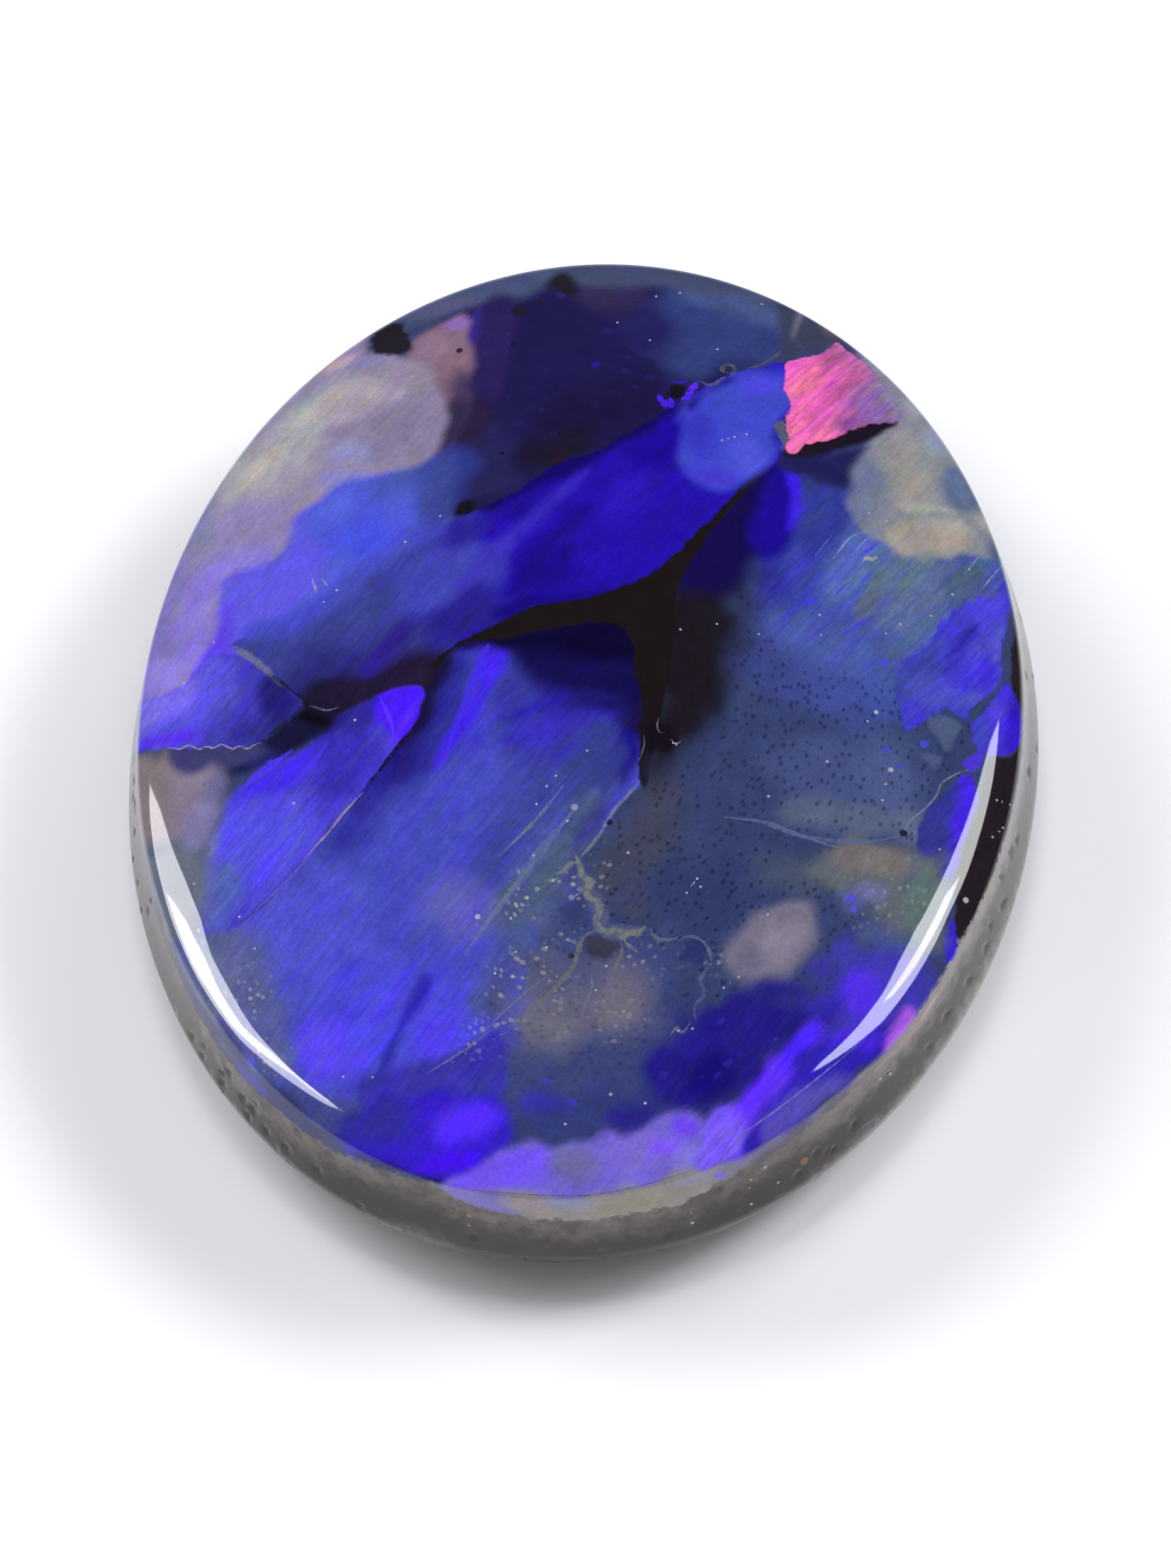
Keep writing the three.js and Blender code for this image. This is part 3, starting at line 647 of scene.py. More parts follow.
           (2.1, -6.36), (2.6, -6.15), (3.1, -5.8), (3.6, -5.4), (4.1, -4.8), (4.4, -4.6), (4.9, -4.6),
           (3.6, -7), (1, -8.2), (-1, -8)], soft=0.13, ragged=0.08, silk=0.0, shades=(
        ("7970c0", [(-1.3, -6.9), (-0.3, -6.8), (-0.3, -7.5), (-1.4, -7.5)], 0.3),
        ("9d8d98", oval(0.05, -7.1, 0.3, 0.15), 0.25),
        ("8b8db1", oval(0.55, -7, 0.3, 0.15), 0.25),
        ("948e81", oval(1.35, -7.05, 0.4, 0.18, 12), 0.25),
        ("8e8eaa", oval(2.1, -6.55, 0.25, 0.12, 20), 0.2),
        ("7e7995", [(2.4, -6.1), (3.2, -5.7), (4.2, -4.7), (4.3, -5.2), (3.3, -6.4), (2.5, -6.9)], 0.3),
        ("bbaa99", [(3.8, -4.9), (4.3, -4.3), (4.7, -4.2), (4.6, -4.9), (4.2, -5.2)], 0.3),
    )),
    Patch("royal_right", "3123b0",
          [(4.35, -4.25), (4.05, -4.3), (3.6, -4.5), (3.3, -4.6), (2.9, -4.95), (2.5, -5.5), (2.5, -6.2),
           (3, -5.95), (3.5, -5.45), (3.95, -4.95), (4.25, -4.6)], soft=0.15, ragged=0.1, silk=0.25,
           shades=(
        ("4c2ae4", oval(3.85, -4.4, 0.3, 0.2), 0.3),
        ("3025b4", [(3.2, -5.3), (3.6, -5.3), (3.9, -4.9), (3.7, -4.7), (3.3, -4.9)], 0.3),
        ("5a50bc", [(2.9, -6), (3.4, -5.5), (3.9, -5), (3.6, -5), (3.1, -5.4), (2.8, -5.7)], 0.2),
    )),
    Patch("low_indigo", "221c84",
          [(1.8, -4.6), (2.35, -4.12), (3.15, -4), (3.4, -4.3), (2.95, -4.85), (2.5, -5.3), (2.1, -5.65),
           (1.5, -5.65), (1.3, -5.2)], soft=0.32, ragged=0.2, silk=0.25, shades=(
        ("180f72", oval(2.2, -5.2, 0.3, 0.35, -40), 0.3),
    )),
    Patch("violet_streak", "6032ff",
          [(3.4, -4.35), (3.1, -4.58), (2.9, -4.78), (2.65, -5.2), (2.42, -5.5), (2.15, -5.72), (2.1, -6),
           (2.2, -6.35), (2.6, -6.2), (2.72, -5.7), (2.9, -5.3), (3.15, -4.95), (3.4, -4.6)], soft=0.17,
           ragged=0.12, silk=0.35, shades=(
        ("7b5cff", [(2, -5.7), (2.5, -5.5), (2.7, -6.2), (2.2, -6.5), (2, -6.1)], 0.3),
        ("4b29ff", [(3.4, -4.3), (3, -4.7), (3.1, -5), (3.5, -4.6)], 0.25),
    )),
    Patch("magenta_chip", "b060f0",
          [(4.5, -3.95), (4.66, -4.1), (4.6, -4.35), (4.47, -4.55), (4.3, -4.58), (4.3, -4.3)],
           soft=0.13, silk=0.1),
    Patch("mauve_oval", "767086", oval(2.74, -3.38, 0.4, 0.7, -42), soft=0.2, ragged=0.08, silk=0.0,
                                   shades=(
        ("867e92", oval(2.85, -3.3, 0.22, 0.3, -35), 0.3),
        ("6c6a86", oval(2.5, -3.72, 0.2, 0.15), 0.25),
    )),
    Patch("dark_lens", "3a394e", oval(0.68, -3.7, 0.21, 0.15), soft=0.1, ragged=0.05, silk=0.0),
    Patch("dark_lens_low", "2d346a", oval(1.83, -3.65, 0.17, 0.15), soft=0.1, ragged=0.05, silk=0.0),
    Patch("dark_lens_mid", "343e6e", oval(0.36, -3.12, 0.09, 0.1), soft=0.08, silk=0.0),
    Patch("black_splash", "15101a",
          [(1, -0.72), (1.15, -0.68), (1.32, -0.78), (1.33, -0.9), (1.2, -1), (1.02, -0.95)], soft=0.15,
           ragged=0.08, silk=0.0),
    # paler, greyer slate at the back rim: partly its colour, partly a painted reflection at the grazing edge
    Patch("back_rim_and_reflection", "434b6c",
          [(-0.75, 6.42), (0.6, 6.42), (1.3, 6.36), (1.3, 7.1), (-0.75, 7.1)], soft=0.25, silk=0.05),
    Patch("black_crown", "211e24",
          [(-1.03, 6.32), (-0.98, 6.5), (-0.86, 6.6), (-0.74, 6.52), (-0.66, 6.3), (-0.7, 6.12),
           (-0.85, 6.25)], soft=0.16, ragged=0.05, silk=0.0),
    Patch("crown_spot", "2e2868", oval(-0.85, 6.14, 0.08, 0.07), soft=0.08, silk=0.0),
    Patch("blue_point", "2620a8", oval(-0.25, 4.88, 0.06, 0.05), soft=0.06, silk=0.0),
    Patch("pit_blot", "24182a",
          [(-0.72, 3.1), (-0.62, 3.35), (-0.48, 3.42), (-0.42, 3.28), (-0.55, 3.16)], soft=0.07,
           ragged=0.05, silk=0.0),
    Patch("band_pit", "17131f",
          [(-1.78, 2.3), (-1.72, 2.48), (-1.55, 2.55), (-1.5, 2.45), (-1.6, 2.33)], soft=0.07,
           ragged=0.05, silk=0.0),
    Patch("hook_pit", "14101c", oval(0.83, 4.5, 0.1, 0.12), soft=0.07, ragged=0.04, silk=0.0),
    Patch("yellow_spot", "7f8274", oval(-3.12, -6.12, 0.12, 0.09), soft=0.14, ragged=0.04, silk=0.0),
    Patch("left_slope", "34386c",
          [(-5.4, -2.9), (-4.97, -3.6), (-4.52, -4.35), (-4, -5), (-3.4, -5.56), (-2.8, -5.98),
           (-2.9, -6.35), (-3.7, -6.1), (-4.5, -5.6), (-5.3, -4.6), (-5.9, -3.4)], soft=0.22, ragged=0.12,
           shades=(
        ("4a484e", [(-5.6, -2.7), (-5, -3.5), (-4.7, -4.2), (-5.3, -4.5), (-5.9, -3.4)], 0.35),
        ("4640a8", oval(-3.75, -5.6, 0.3, 0.1, -38), 0.22),
        ("4a5266", oval(-4.1, -5.2, 0.25, 0.1, -50), 0.25),
    )),
    Patch("right_dusk", "5e5874",
          [(4.75, -4.35), (4.35, -4.8), (3.9, -5.25), (3.3, -5.8), (2.7, -6.24), (3, -6.7), (4, -5.9),
           (4.95, -4.9)], soft=0.28, ragged=0.15, silk=0.05),
]

# Where pale flecks gather, and where small blue grains glint.
FLECKED = [
    Region(oval(-3.65, -4.5, 0.3, 0.55, -15), 0.3),
    Region(oval(-3.35, -5.2, 0.3, 0.25), 0.3),
    Region(oval(-4.5, -3.7, 0.35, 0.12, 20), 0.2),
    Region(oval(-0.3, -3.1, 0.25, 0.4, -30), 0.3),
    Region(oval(-0.4, -4.1, 0.25, 0.35, -20), 0.3),
    Region(oval(0.2, -2.9, 0.3, 0.25), 0.25),
    Region(oval(0.05, -3.75, 0.35, 0.2), 0.3, 0.8),
    Region(oval(-0.6, -4.95, 0.4, 0.2, 30), 0.3, 0.8),
    Region(oval(1.95, -3.75, 0.35, 0.25), 0.3, 0.6),
    Region(oval(4.15, -2.5, 0.6, 0.6), 0.4, 0.5),
    Region(oval(1, -4.6, 0.3, 0.3), 0.3, 0.6),
    Region(oval(0.5, -3, 0.22, 0.55, -15), 0.3, 0.7),
    Region(oval(1.2, -3.75, 0.35, 0.3), 0.3, 0.6),
    Region(oval(0.05, -4.35, 0.4, 0.5, -30), 0.4, 0.6),
]
SPARKLING = [
    Region(oval(-0.5, 4.6, 1.2, 1.1, 20), 0.6, 0.15),
    Region(oval(0.2, -5.7, 1.2, 0.35), 0.4, 0.9),
    Region(oval(2.2, -4.8, 0.9, 0.5, 20), 0.5, 0.8),
    Region(oval(-2.9, -1.2, 0.8, 0.5, 40), 0.4, 0.4),
    Region(oval(-2.3, 6, 0.8, 0.3), 0.4, 0.6),
]

# Where the play of colour gives way to the bare potch, along the section, by degrees anticlockwise from +X.
POTCH_FROM = [
    (-180, 5.82), (-164, 5.88), (-148, 5.93), (-136, 6.06), (-128, 6.0), (-117, 5.95), (-111, 5.82),
    (-102, 5.68), (-98, 5.88), (-92, 5.95), (-84, 6.06), (-70, 6.07), (-65, 5.95), (-55, 5.84), (-40, 5.73),
    (-25, 5.63), (-12, 5.7), (0, 5.75), (90, 5.8), (180, 5.82),
]

# Veins, cracks and bright streaks, in the order in which they lie.
STROKES = [
    # the tan vein between the big field and the slate, with its side shoots
    Stroke("6a7080", 0.045, [(0.93, -1.45), (0.82, -1.64), (0.7, -1.8), (0.6, -2), (0.48, -2.28),
                             (0.28, -2.58)]),
    Stroke("4c5474", 0.2, [(0.27, -2.56), (0.42, -2.9), (0.6, -3.2), (0.72, -3.48), (1.2, -3.4)], 0.3),
    Stroke("6f726d", 0.085, [(0.25, -2.52), (0.31, -2.66), (0.36, -2.79), (0.47, -2.86), (0.42, -2.97),
                             (0.45, -3.05), (0.56, -3.1), (0.61, -3.2), (0.57, -3.33), (0.62, -3.44),
                             (0.72, -3.49), (0.85, -3.47), (0.91, -3.54), (1, -3.47), (1.1, -3.46),
                             (1.17, -3.37)], 0.1),
    Stroke("6a7074", 0.07, [(0.3, -2.6), (0.2, -2.63), (0.12, -2.73), (0.03, -2.79)], 0.1),
    Stroke("6c6e70", 0.06, [(0.06, -2.83), (-0.02, -2.88), (-0.1, -2.87)], 0.05),
    Stroke("69748c", 0.035, [(0.4, -2.98), (0.32, -3.03), (0.22, -3.12)]),
    Stroke("5c6364", 0.06, [(0.62, -3.47), (0.5, -3.52), (0.42, -3.62), (0.38, -3.8), (0.36, -3.95),
                            (0.22, -4.15), (0.05, -4.4), (-0.1, -4.5), (-0.25, -4.75)], 0.3),
    Stroke("625f60", 0.05, [(0.88, -3.54), (0.93, -3.72), (0.86, -3.95), (0.9, -4.15)], 0.2),
    Stroke("6f7070", 0.06, [(0.92, -3.54), (1, -3.64), (1.12, -3.72)]),
    Stroke("586078", 0.05, [(1.24, -3.4), (1.32, -3.5), (1.45, -3.52), (1.6, -3.46)], 0.1),
    Stroke("565f7c", 0.045, [(1.58, -3.52), (1.75, -3.44), (1.93, -3.52), (2.02, -3.72)]),
    Stroke("4c557a", 0.04, [(2, -3.8), (1.9, -3.98), (1.98, -4.15), (1.86, -4.35), (1.9, -4.5)]),
    # pale lines round the left-hand block
    Stroke("8886b0", 0.022, [(-5.12, -0.98), (-4.95, -1.02), (-4.85, -0.97), (-4.7, -1.05), (-4.6, -1.01),
                             (-4.5, -1.05), (-4.4, -1), (-4.25, -1.08), (-4.15, -1.04), (-4.05, -1.1),
                             (-3.95, -1.03), (-3.88, -1.02)]),
    Stroke("1d1a30", 0.035, [(-3.9, -1), (-3.7, -0.84), (-3.5, -0.66), (-3.38, -0.5)]),
    Stroke("1c1424", 0.04, [(-3.85, -0.05), (-3.75, -0.12), (-3.6, -0.26), (-3.4, -0.42), (-3.3, -0.52)]),
    Stroke("75665f", 0.028, [(-3.3, -0.52), (-3.15, -0.58), (-3.05, -0.6), (-2.92, -0.56)]),
    # brighter streaks in the finger and in the field beside it
    Stroke("5a30f8", 0.06, [(-2.42, -0.42), (-2.24, -0.75), (-2.16, -1.05)], 0.3),
    Stroke("4d30ee", 0.12, [(-4.1, -1.68), (-3.8, -1.42), (-3.45, -1.15)], 0.3),
    Stroke("4630e0", 0.08, [(-3.5, -1.75), (-3.2, -1.4), (-3, -1.05)], 0.3),
    Stroke("3f28dc", 0.09, [(-1.12, 0.34), (-1.22, 0), (-1.3, -0.4), (-1.42, -0.75)], 0.3),
    Stroke("4328e0", 0.05, [(-1.3, -0.5), (-1.42, -0.9), (-1.5, -1.35)], 0.3),
    # the crack under the finger: black at its top, tan further down
    Stroke("14101c", 0.05, [(-1.88, -0.75), (-1.97, -0.92), (-2.1, -1.12), (-2.22, -1.33), (-2.37, -1.57),
                            (-2.5, -1.77)]),
    Stroke("8d7c7c", 0.03, [(-2.48, -1.76), (-2.72, -2.08), (-2.86, -2.3), (-3.02, -2.5),
                            (-3.15, -2.68)], 0.25),
    Stroke("3c3a78", 0.035, [(-3.1, -2.62), (-3.45, -3.08), (-3.75, -3.38), (-3.95, -3.5)], 0.3),
    Stroke("5a5fa4", 0.025, [(-3, -2.52), (-3.4, -3.02), (-3.7, -3.33)], 0.3),
    # cracks and wisps on the right
    Stroke("707896", 0.022, [(4.97, -0.6), (4.82, -0.7), (4.65, -0.87), (4.6, -1.05), (4.48, -1.25),
                             (4.3, -1.47), (4.21, -1.7)]),
    Stroke("4f5f84", 0.06, [(2, -1.82), (2.5, -1.82), (2.9, -1.92), (3.35, -1.93), (3.8, -1.86),
                            (4.2, -1.7)], 0.6),
    Stroke("58688a", 0.03, [(2.6, -1.8), (3, -1.93), (3.4, -2), (3.7, -1.98)], 0.4),
    Stroke("7f86b0", 0.02, [(3.03, 2.1), (3.11, 2.28), (3.22, 2.48), (3.4, 2.63)], 0.2),
    Stroke("6066b4", 0.02, [(2.8, 2.1), (3, 2.5)], 0.2),
    Stroke("6c7ab0", 0.02, [(3.25, 2.2), (3.45, 2.55), (3.6, 2.7)], 0.2),
    Stroke("3b34d8", 0.045, [(3.35, 2.2), (3.6, 2.5)], 0.2),
    Stroke("4038d8", 0.045, [(3.38, 1.78), (3.55, 2.02)], 0.1),
    Stroke("3530c8", 0.045, [(2.83, 1.72), (2.92, 1.92)], 0.1),
    Stroke("4038cc", 0.05, [(3.22, 0.97), (3.4, 1.15), (3.58, 1.34)], 0.2),
    Stroke("3c3ad0", 0.035, [(3.1, 1.55), (3.22, 1.75)], 0.1),
    Stroke("a09c84", 0.045, [(3.4, 2.13), (3.45, 2.22), (3.52, 2.2), (3.58, 2.26)], 0.05),
    Stroke("74849c", 0.02, [(5.28, 2.72), (5.15, 2.5), (5, 2.2), (4.92, 2.05)]),
    Stroke("6c7c98", 0.018, [(4.95, 2.75), (4.8, 2.45), (4.72, 2.3)], 0.12),
    Stroke("5b6890", 0.02, [(4.2, 1.05), (4.1, 0.9), (4.02, 0.8)], 0.1),
    # grey lines in the lower middle
    Stroke("62647a", 0.03, [(-0.65, -4.85), (-0.35, -4.5), (-0.05, -4.2), (0.07, -4.1)], 0.25),
    Stroke("5e6184", 0.03, [(-1.3, -5.42), (-1, -5.2), (-0.8, -5.05), (-0.6, -4.85)], 0.25),
    Stroke("6a6a80", 0.022, [(0.5, -4.6), (0.55, -4.42), (0.6, -4.2), (0.58, -4.05)], 0.08),
    Stroke("5c607c", 0.03, [(1.6, -4.75), (1.68, -4.62), (1.75, -4.7), (1.83, -4.55)], 0.06),
    # the white squiggles by the dark gap
    Stroke("a3a0b0", 0.018, [(1.25, -0.85), (1.32, -0.92), (1.38, -0.86)], 0.03),
    Stroke("64606c", 0.016, [(1.1, -0.55), (1.07, -0.65), (1.1, -0.75), (1.17, -0.76)], 0.05),
    Stroke("5c5a66", 0.016, [(0.92, -0.82), (0.94, -0.95), (0.9, -1.17)], 0.08),
    # violet hooks and grey-tan stains along the long band's upper edge
    Stroke("4a22ee", 0.085, [(0.6, 4.42), (0.66, 4.33), (0.72, 4.24), (0.79, 4.26), (0.76, 4.38)], 0.04),
    Stroke("5a2af4", 0.1, [(0.9, 4.38), (0.97, 4.42), (1.01, 4.56), (1.09, 4.7)], 0.06),
    Stroke("3414c8", 0.04, [(0.76, 4.68), (0.86, 4.66), (0.95, 4.72)], 0.05),
    Stroke("2a1fa0", 0.03, [(0.78, 4.85), (0.88, 4.9)], 0.05),
    Stroke("54525f", 0.045, [(1.1, 4.73), (1.24, 4.67), (1.34, 4.75), (1.42, 4.86)], 0.06),
    Stroke("504f5c", 0.05, [(1.4, 4.92), (1.37, 5), (1.42, 5.07), (1.5, 5.06), (1.54, 4.97), (1.48, 4.9),
                            (1.41, 4.9)], 0.02),
    Stroke("4c4b58", 0.04, [(1.7, 5.05), (1.85, 5.14), (2, 5.3), (2.1, 5.45)], 0.08),
    Stroke("19131c", 0.04, [(0.05, 3.58), (0.2, 3.66), (0.36, 3.76)], 0.06),
    # flecks
    Stroke("9490bc", 0.04, [(-3.5, 1.38), (-3.42, 1.16)], 0.06),
    Stroke("8a86bc", 0.035, [(-3.37, 1.35), (-3.26, 1.23)], 0.06),
    Stroke("8c8884", 0.05, [(-4.95, -3.62), (-4.85, -3.68)], 0.04),
    Stroke("56628c", 0.12, [(-0.65, -3.35), (-0.25, -2.6), (0.18, -1.9)], 0.6),
    Stroke("5c6a84", 0.05, [(-0.7, -2.6), (-0.3, -2.1), (0, -1.6)], 0.5),
    Stroke("5c6a84", 0.06, [(-1, -3.9), (-0.6, -3.2), (-0.3, -2.7)], 0.5),
    # two fine pale lines along the lower rim, painted reflections of the polish; another fine line, and a
    # pink strip where the colour ends
    Stroke("6f69c4", 0.02, [(3.95, -4.5), (3.4, -5.1), (2.9, -5.6), (2.5, -5.95)], 0.5),
    Stroke("5e5896", 0.02, [(2.1, -6.36), (1.4, -6.66), (0.6, -6.86), (-0.7, -6.88)], 0.5),
    Stroke("6c6b84", 0.035, [(4.75, -5.63), (4.62, -5.76), (4.5, -5.85)], 0.06),
    Stroke("94807e", 0.14, [(5.02, -3.55), (4.9, -3.95), (4.7, -4.3), (4.47, -4.6), (4.28, -4.88)], 0.4),
    Stroke("b09a9c", 0.06, [(4.98, -3.7), (4.9, -3.9), (4.8, -4.1)], 0.1),
]

# The plain pale grains and the smallest, by their places.
PALE_GRAINS = [
    (0.4, 6.22), (0.7, 6.33), (1.78, 6.32), (-3.15, 1.17), (-2.35, 1.88), (-5.03, -0.05), (1.23, 0.73),
    (-2.69, -0.75), (-3.35, -1.89), (3.95, -1.03), (3.93, -1.26), (3.2, -0.86), (4.7, -1.78), (2.52, -1.46),
    (2.65, -3.03), (2.37, -3.89), (3.65, -0.2), (5.45, 2.03), (4.58, 1.92), (3.66, 2.85), (3.95, 1.3),
    (0.25, -1.1), (-0.27, -2.56), (0.1, -2.07), (0.88, -2.43), (1.8, -2.78), (-0.47, -3.4), (0.75, -3.93),
    (1.7, -4.67), (-0.6, -4.12), (0.43, -5.97), (1.38, -5.62), (2.93, -6.65), (5.38, -0.92), (5.57, -0.92),
    (5.5, -1.27), (5.37, -1.44),
]
SMALLEST_GRAINS = [
    (-0.05, 5.67), (0.4, 5.38), (1.28, 5.33), (1.48, 3.75), (1.63, 3.83), (1.78, 3.9), (-3.3, 1.0),
    (-4.7, 0.52), (-1.95, 2.28), (1.67, 0.87), (2.2, -4.05), (4.77, 2.37), (5.77, 0.85), (5.67, 1.28),
    (3.43, 2.92), (3.78, 1.12), (4.33, 1.52), (2.93, 1.22), (2.97, 0.93), (2.2, 0.8), (-0.1, -1.47),
    (-0.2, -1.62), (-0.3, -1.87), (1.64, -2.88), (1.75, -2.68), (-0.37, -3.83), (0.0, -3.75), (0.65, -4.25),
    (1.87, -4.62), (-2.0, -5.5), (-2.37, -5.5), (-3.9, -3.4), (-4.55, -2.92), (-3.66, -3.83),
]
SMALLEST = 0.015  # their radius
SPECKS = [
    # pits and dark grains on the top
    Speck(-1.35, 5.83, 0.1, "1b1a26"), Speck(-1.1, 6.0, 0.05, "1c1a28"), Speck(-1.35, 5.2, 0.04, "18152c"),
    Speck(-2.05, 5.1, 0.04, "2c2638"), Speck(0.62, -2.05, 0.04, "1c1c2c"),
    Speck(0.31, -3.83, 0.04, "2a2b3c"), Speck(4.23, -1.66, 0.05, "1e2038"),
    Speck(-3.15, -0.72, 0.05, "0c0a10"), Speck(-1.28, 3.3, 0.03, "14101c"),
    # blue grains
    Speck(4.38, -0.37, 0.05, "3a48b8"), Speck(3.92, -0.55, 0.05, "3a48b0"),
    Speck(4.1, -0.75, 0.04, "3c4ab0"), Speck(2.8, 1.4, 0.05, "4038d0"), Speck(3.8, 0.68, 0.05, "4444c8"),
    Speck(3.65, -2.65, 0.05, "5048c8"), Speck(3.7, -2.8, 0.04, "5048c8"), Speck(2.42, -6.5, 0.06, "7a52f0"),
    Speck(-3.6, -5.3, 0.06, "5654c8"),
    # larger pale grains on the top
    Speck(4.0, -0.82, 0.032), Speck(3.75, -0.05, 0.025, "a8a498"), Speck(0.17, -1.88, 0.04, "7a849c"),
    Speck(-0.88, -3.4, 0.03), Speck(-0.3, -3.12, 0.025, "98968e"), Speck(0.0, -2.87, 0.025, "98968e"),
    Speck(-0.38, -4.15, 0.025, "98968e"), Speck(5.1, -2.38, 0.035, "a0a4ac"),
    Speck(0.95, -5.55, 0.02, "7a9aa0"),
    # larger grains in the wall
    Speck(3.08, -6.43, 0.025), Speck(3.4, -6.75, 0.025), Speck(2.28, -7.48, 0.025),
    Speck(3.1, -7.15, 0.025), Speck(4.65, -4.93, 0.025), Speck(4.47, -5.0, 0.025),
    Speck(3.7, -6.37, 0.07, "7a5a48"), Speck(4.15, -6.5, 0.05, "7a5a48"),
    Speck(-0.75, -7.45, 0.045, "80604a"), Speck(-3.7, -4.9, 0.03, "a89c90"),
    *(Speck(x, y) for x, y in PALE_GRAINS),
    *(Speck(x, y, SMALLEST) for x, y in SMALLEST_GRAINS),
]

# Small pits in the wall: x, y and radius of the larger ones, and how the others are scattered.
WALL_PITS = [
    (-4.0, -6.15, 0.09), (-4.15, -6.0, 0.07), (-4.2, -6.3, 0.06), (-4.6, -5.8, 0.08), (-4.5, -5.65, 0.06),
    (-4.3, -5.6, 0.07), (0.67, -7.43, 0.07), (0.2, -7.38, 0.06), (1.75, -7.1, 0.06), (-0.95, -7.1, 0.05),
    (5.78, -1.85, 0.05), (5.87, -2.55, 0.05), (5.95, -2.85, 0.06), (6.1, -1.2, 0.05), (6.15, -2.1, 0.05),
]
PIT_DEPTH = 0.03
PIT_FADE = 0.1  # pits fade in below the colour, and stop before the resting face, over this length
PIT_REACH = 4  # in its radii, how far from its middle a pit still counts
SCATTERED_PITS = 260
SCATTERED_PIT_RADII = (0.03, 0.07)
SCATTERED_PIT_PLACES = (6.0, 8.2)  # along the section
SCATTER_SEED = 11

# How the pattern is worked out.
FAR = 9.0  # a distance that means nowhere near
CURVE_STEPS = 5  # between two points of an outline or a stroke
NO_LENGTH = 1e-12  # keeps a side without length from being divided by
CLOUD_KNOTS = 64  # along each side of a cloud's net, after which it repeats
CRISP = 0.12  # an edge narrower than this is left to the material
TOUCHING = 2 * SPACING  # a patch lies over all that is this close to its outline
CLEAR = 4 * SPACING  # and keeps what comes later off its layer as far as this
EDGE_REACH = 0.35  # how far from a patch's outline its distance is kept
MARK_REACH = 0.09  # how far past a stroke's or speck's own edge its distance is kept
THINNEST = 0.35  # the share of its width that a stroke keeps at its ends
# The size of the clouds by which an edge wanders, how far it does as a share of its softness, and the
# first of their seeds. A patch says itself how far, and its seed is its number.
PATCH_CLOUD = 0.3
SHADE_CLOUD, SHADE_WANDER, SHADE_SEED = 0.35, 0.3, 100
REGION_CLOUD, REGION_WANDER, REGION_SEED = 0.25, 0.5, 200


def linear(colour):
    """An sRGB hex colour as linear light."""
    share = np.array([int(colour[i : i + 2], 16) for i in (0, 2, 4)]) / 255
    return np.where(share <= 0.04045, share / 12.92, ((share + 0.055) / 1.055) ** 2.4)


def smooth_curve(points, closed):
    """A curve through all the points, each stretch a cubic whose slope at a point is half the way between
    that point's two neighbours."""
    points = np.array(points, float)
    if closed:
        start, last = points, np.empty((0, 2))
        before, after, beyond = (np.roll(points, shift, axis=0) for shift in (1, -1, -2))
    else:
        padded = np.vstack([2 * points[0] - points[1], points, 2 * points[-1] - points[-2]])
        before, start, after, beyond = padded[:-3], padded[1:-2], padded[2:-1], padded[3:]
        last = points[-1:]
    t = np.linspace(0, 1, CURVE_STEPS, endpoint=False)[None, :, None]
    before, start, after, beyond = (p[:, None] for p in (before, start, after, beyond))
    curve = 0.5 * (
        2 * start
        + (after - before) * t
        + (2 * before - 5 * start + 4 * after - beyond) * t**2
        + (3 * start - before - 3 * after + beyond) * t**3
    )
    return np.vstack([curve.reshape(-1, 2), last])


def smooth_step(value):
    """0 below 0, 1 above 1, and a smooth rise between: three times the square less twice the cube."""
    value = np.clip(value, 0, 1)
    return value * value * (3 - 2 * value)


def cloud(x, y, size, seed):
    """Soft relief between -1 and 1: random heights on a square net, blended smoothly between its knots."""
    net = np.random.default_rng(seed).uniform(-1, 1, (CLOUD_KNOTS, CLOUD_KNOTS))
    column, row = np.floor(x / size).astype(int), np.floor(y / size).astype(int)
    right, up = smooth_step(x / size - column), smooth_step(y / size - row)
    left_knot, right_knot = column % CLOUD_KNOTS, (column + 1) % CLOUD_KNOTS
    low_knot, high_knot = row % CLOUD_KNOTS, (row + 1) % CLOUD_KNOTS
    low = net[left_knot, low_knot] * (1 - right) + net[right_knot, low_knot] * right
    high = net[left_knot, high_knot] * (1 - right) + net[right_knot, high_knot] * right
    return low * (1 - up) + high * up


def distance_inside(outline, x, y):
    """Distance from each point to a closed outline, positive inside it: the least distance to any of its
    sides, with the sign from how often a line to the right crosses them."""
    curve = smooth_curve(outline, closed=True)
    nearest = np.full(x.shape, FAR)
    inside = np.zeros(x.shape, bool)
    for (ax, ay), (bx, by) in zip(curve, np.roll(curve, -1, axis=0)):
        run, rise = bx - ax, by - ay
        share = ((x - ax) * run + (y - ay) * rise) / (run * run + rise * rise + NO_LENGTH)
        share = np.clip(share, 0, 1)
        nearest = np.minimum(nearest, np.hypot(x - ax - share * run, y - ay - share * rise))
        if ay != by:
            inside ^= ((ay > y) != (by > y)) & (x < ax + (y - ay) * run / rise)
    return np.where(inside, nearest, -nearest)


def near_box(points, x, y, margin):
    """The numbers of the surface's points that lie within a margin of the box round a row of points."""
    low, high = np.min(points, axis=0) - margin, np.max(points, axis=0) + margin
    return np.flatnonzero((x > low[0]) & (x < high[0]) & (y > low[1]) & (y < high[1]))


class Layer:
    """One sheet of patches, strokes or specks that keep clear of each other, as arrays over the points.

    A sheet of patches says with its edge how far inside an outline a point lies and how far the outline
    wanders, both in widths of the soft edge. lay_strokes and lay_specks say what their edges hold.
    """

    def __init__(self, count, edge):
        self.colour = np.zeros((count, 3))
        self.edge = np.tile(np.array(edge, float), (count, 1))
        self.inside = np.full(count, -FAR)


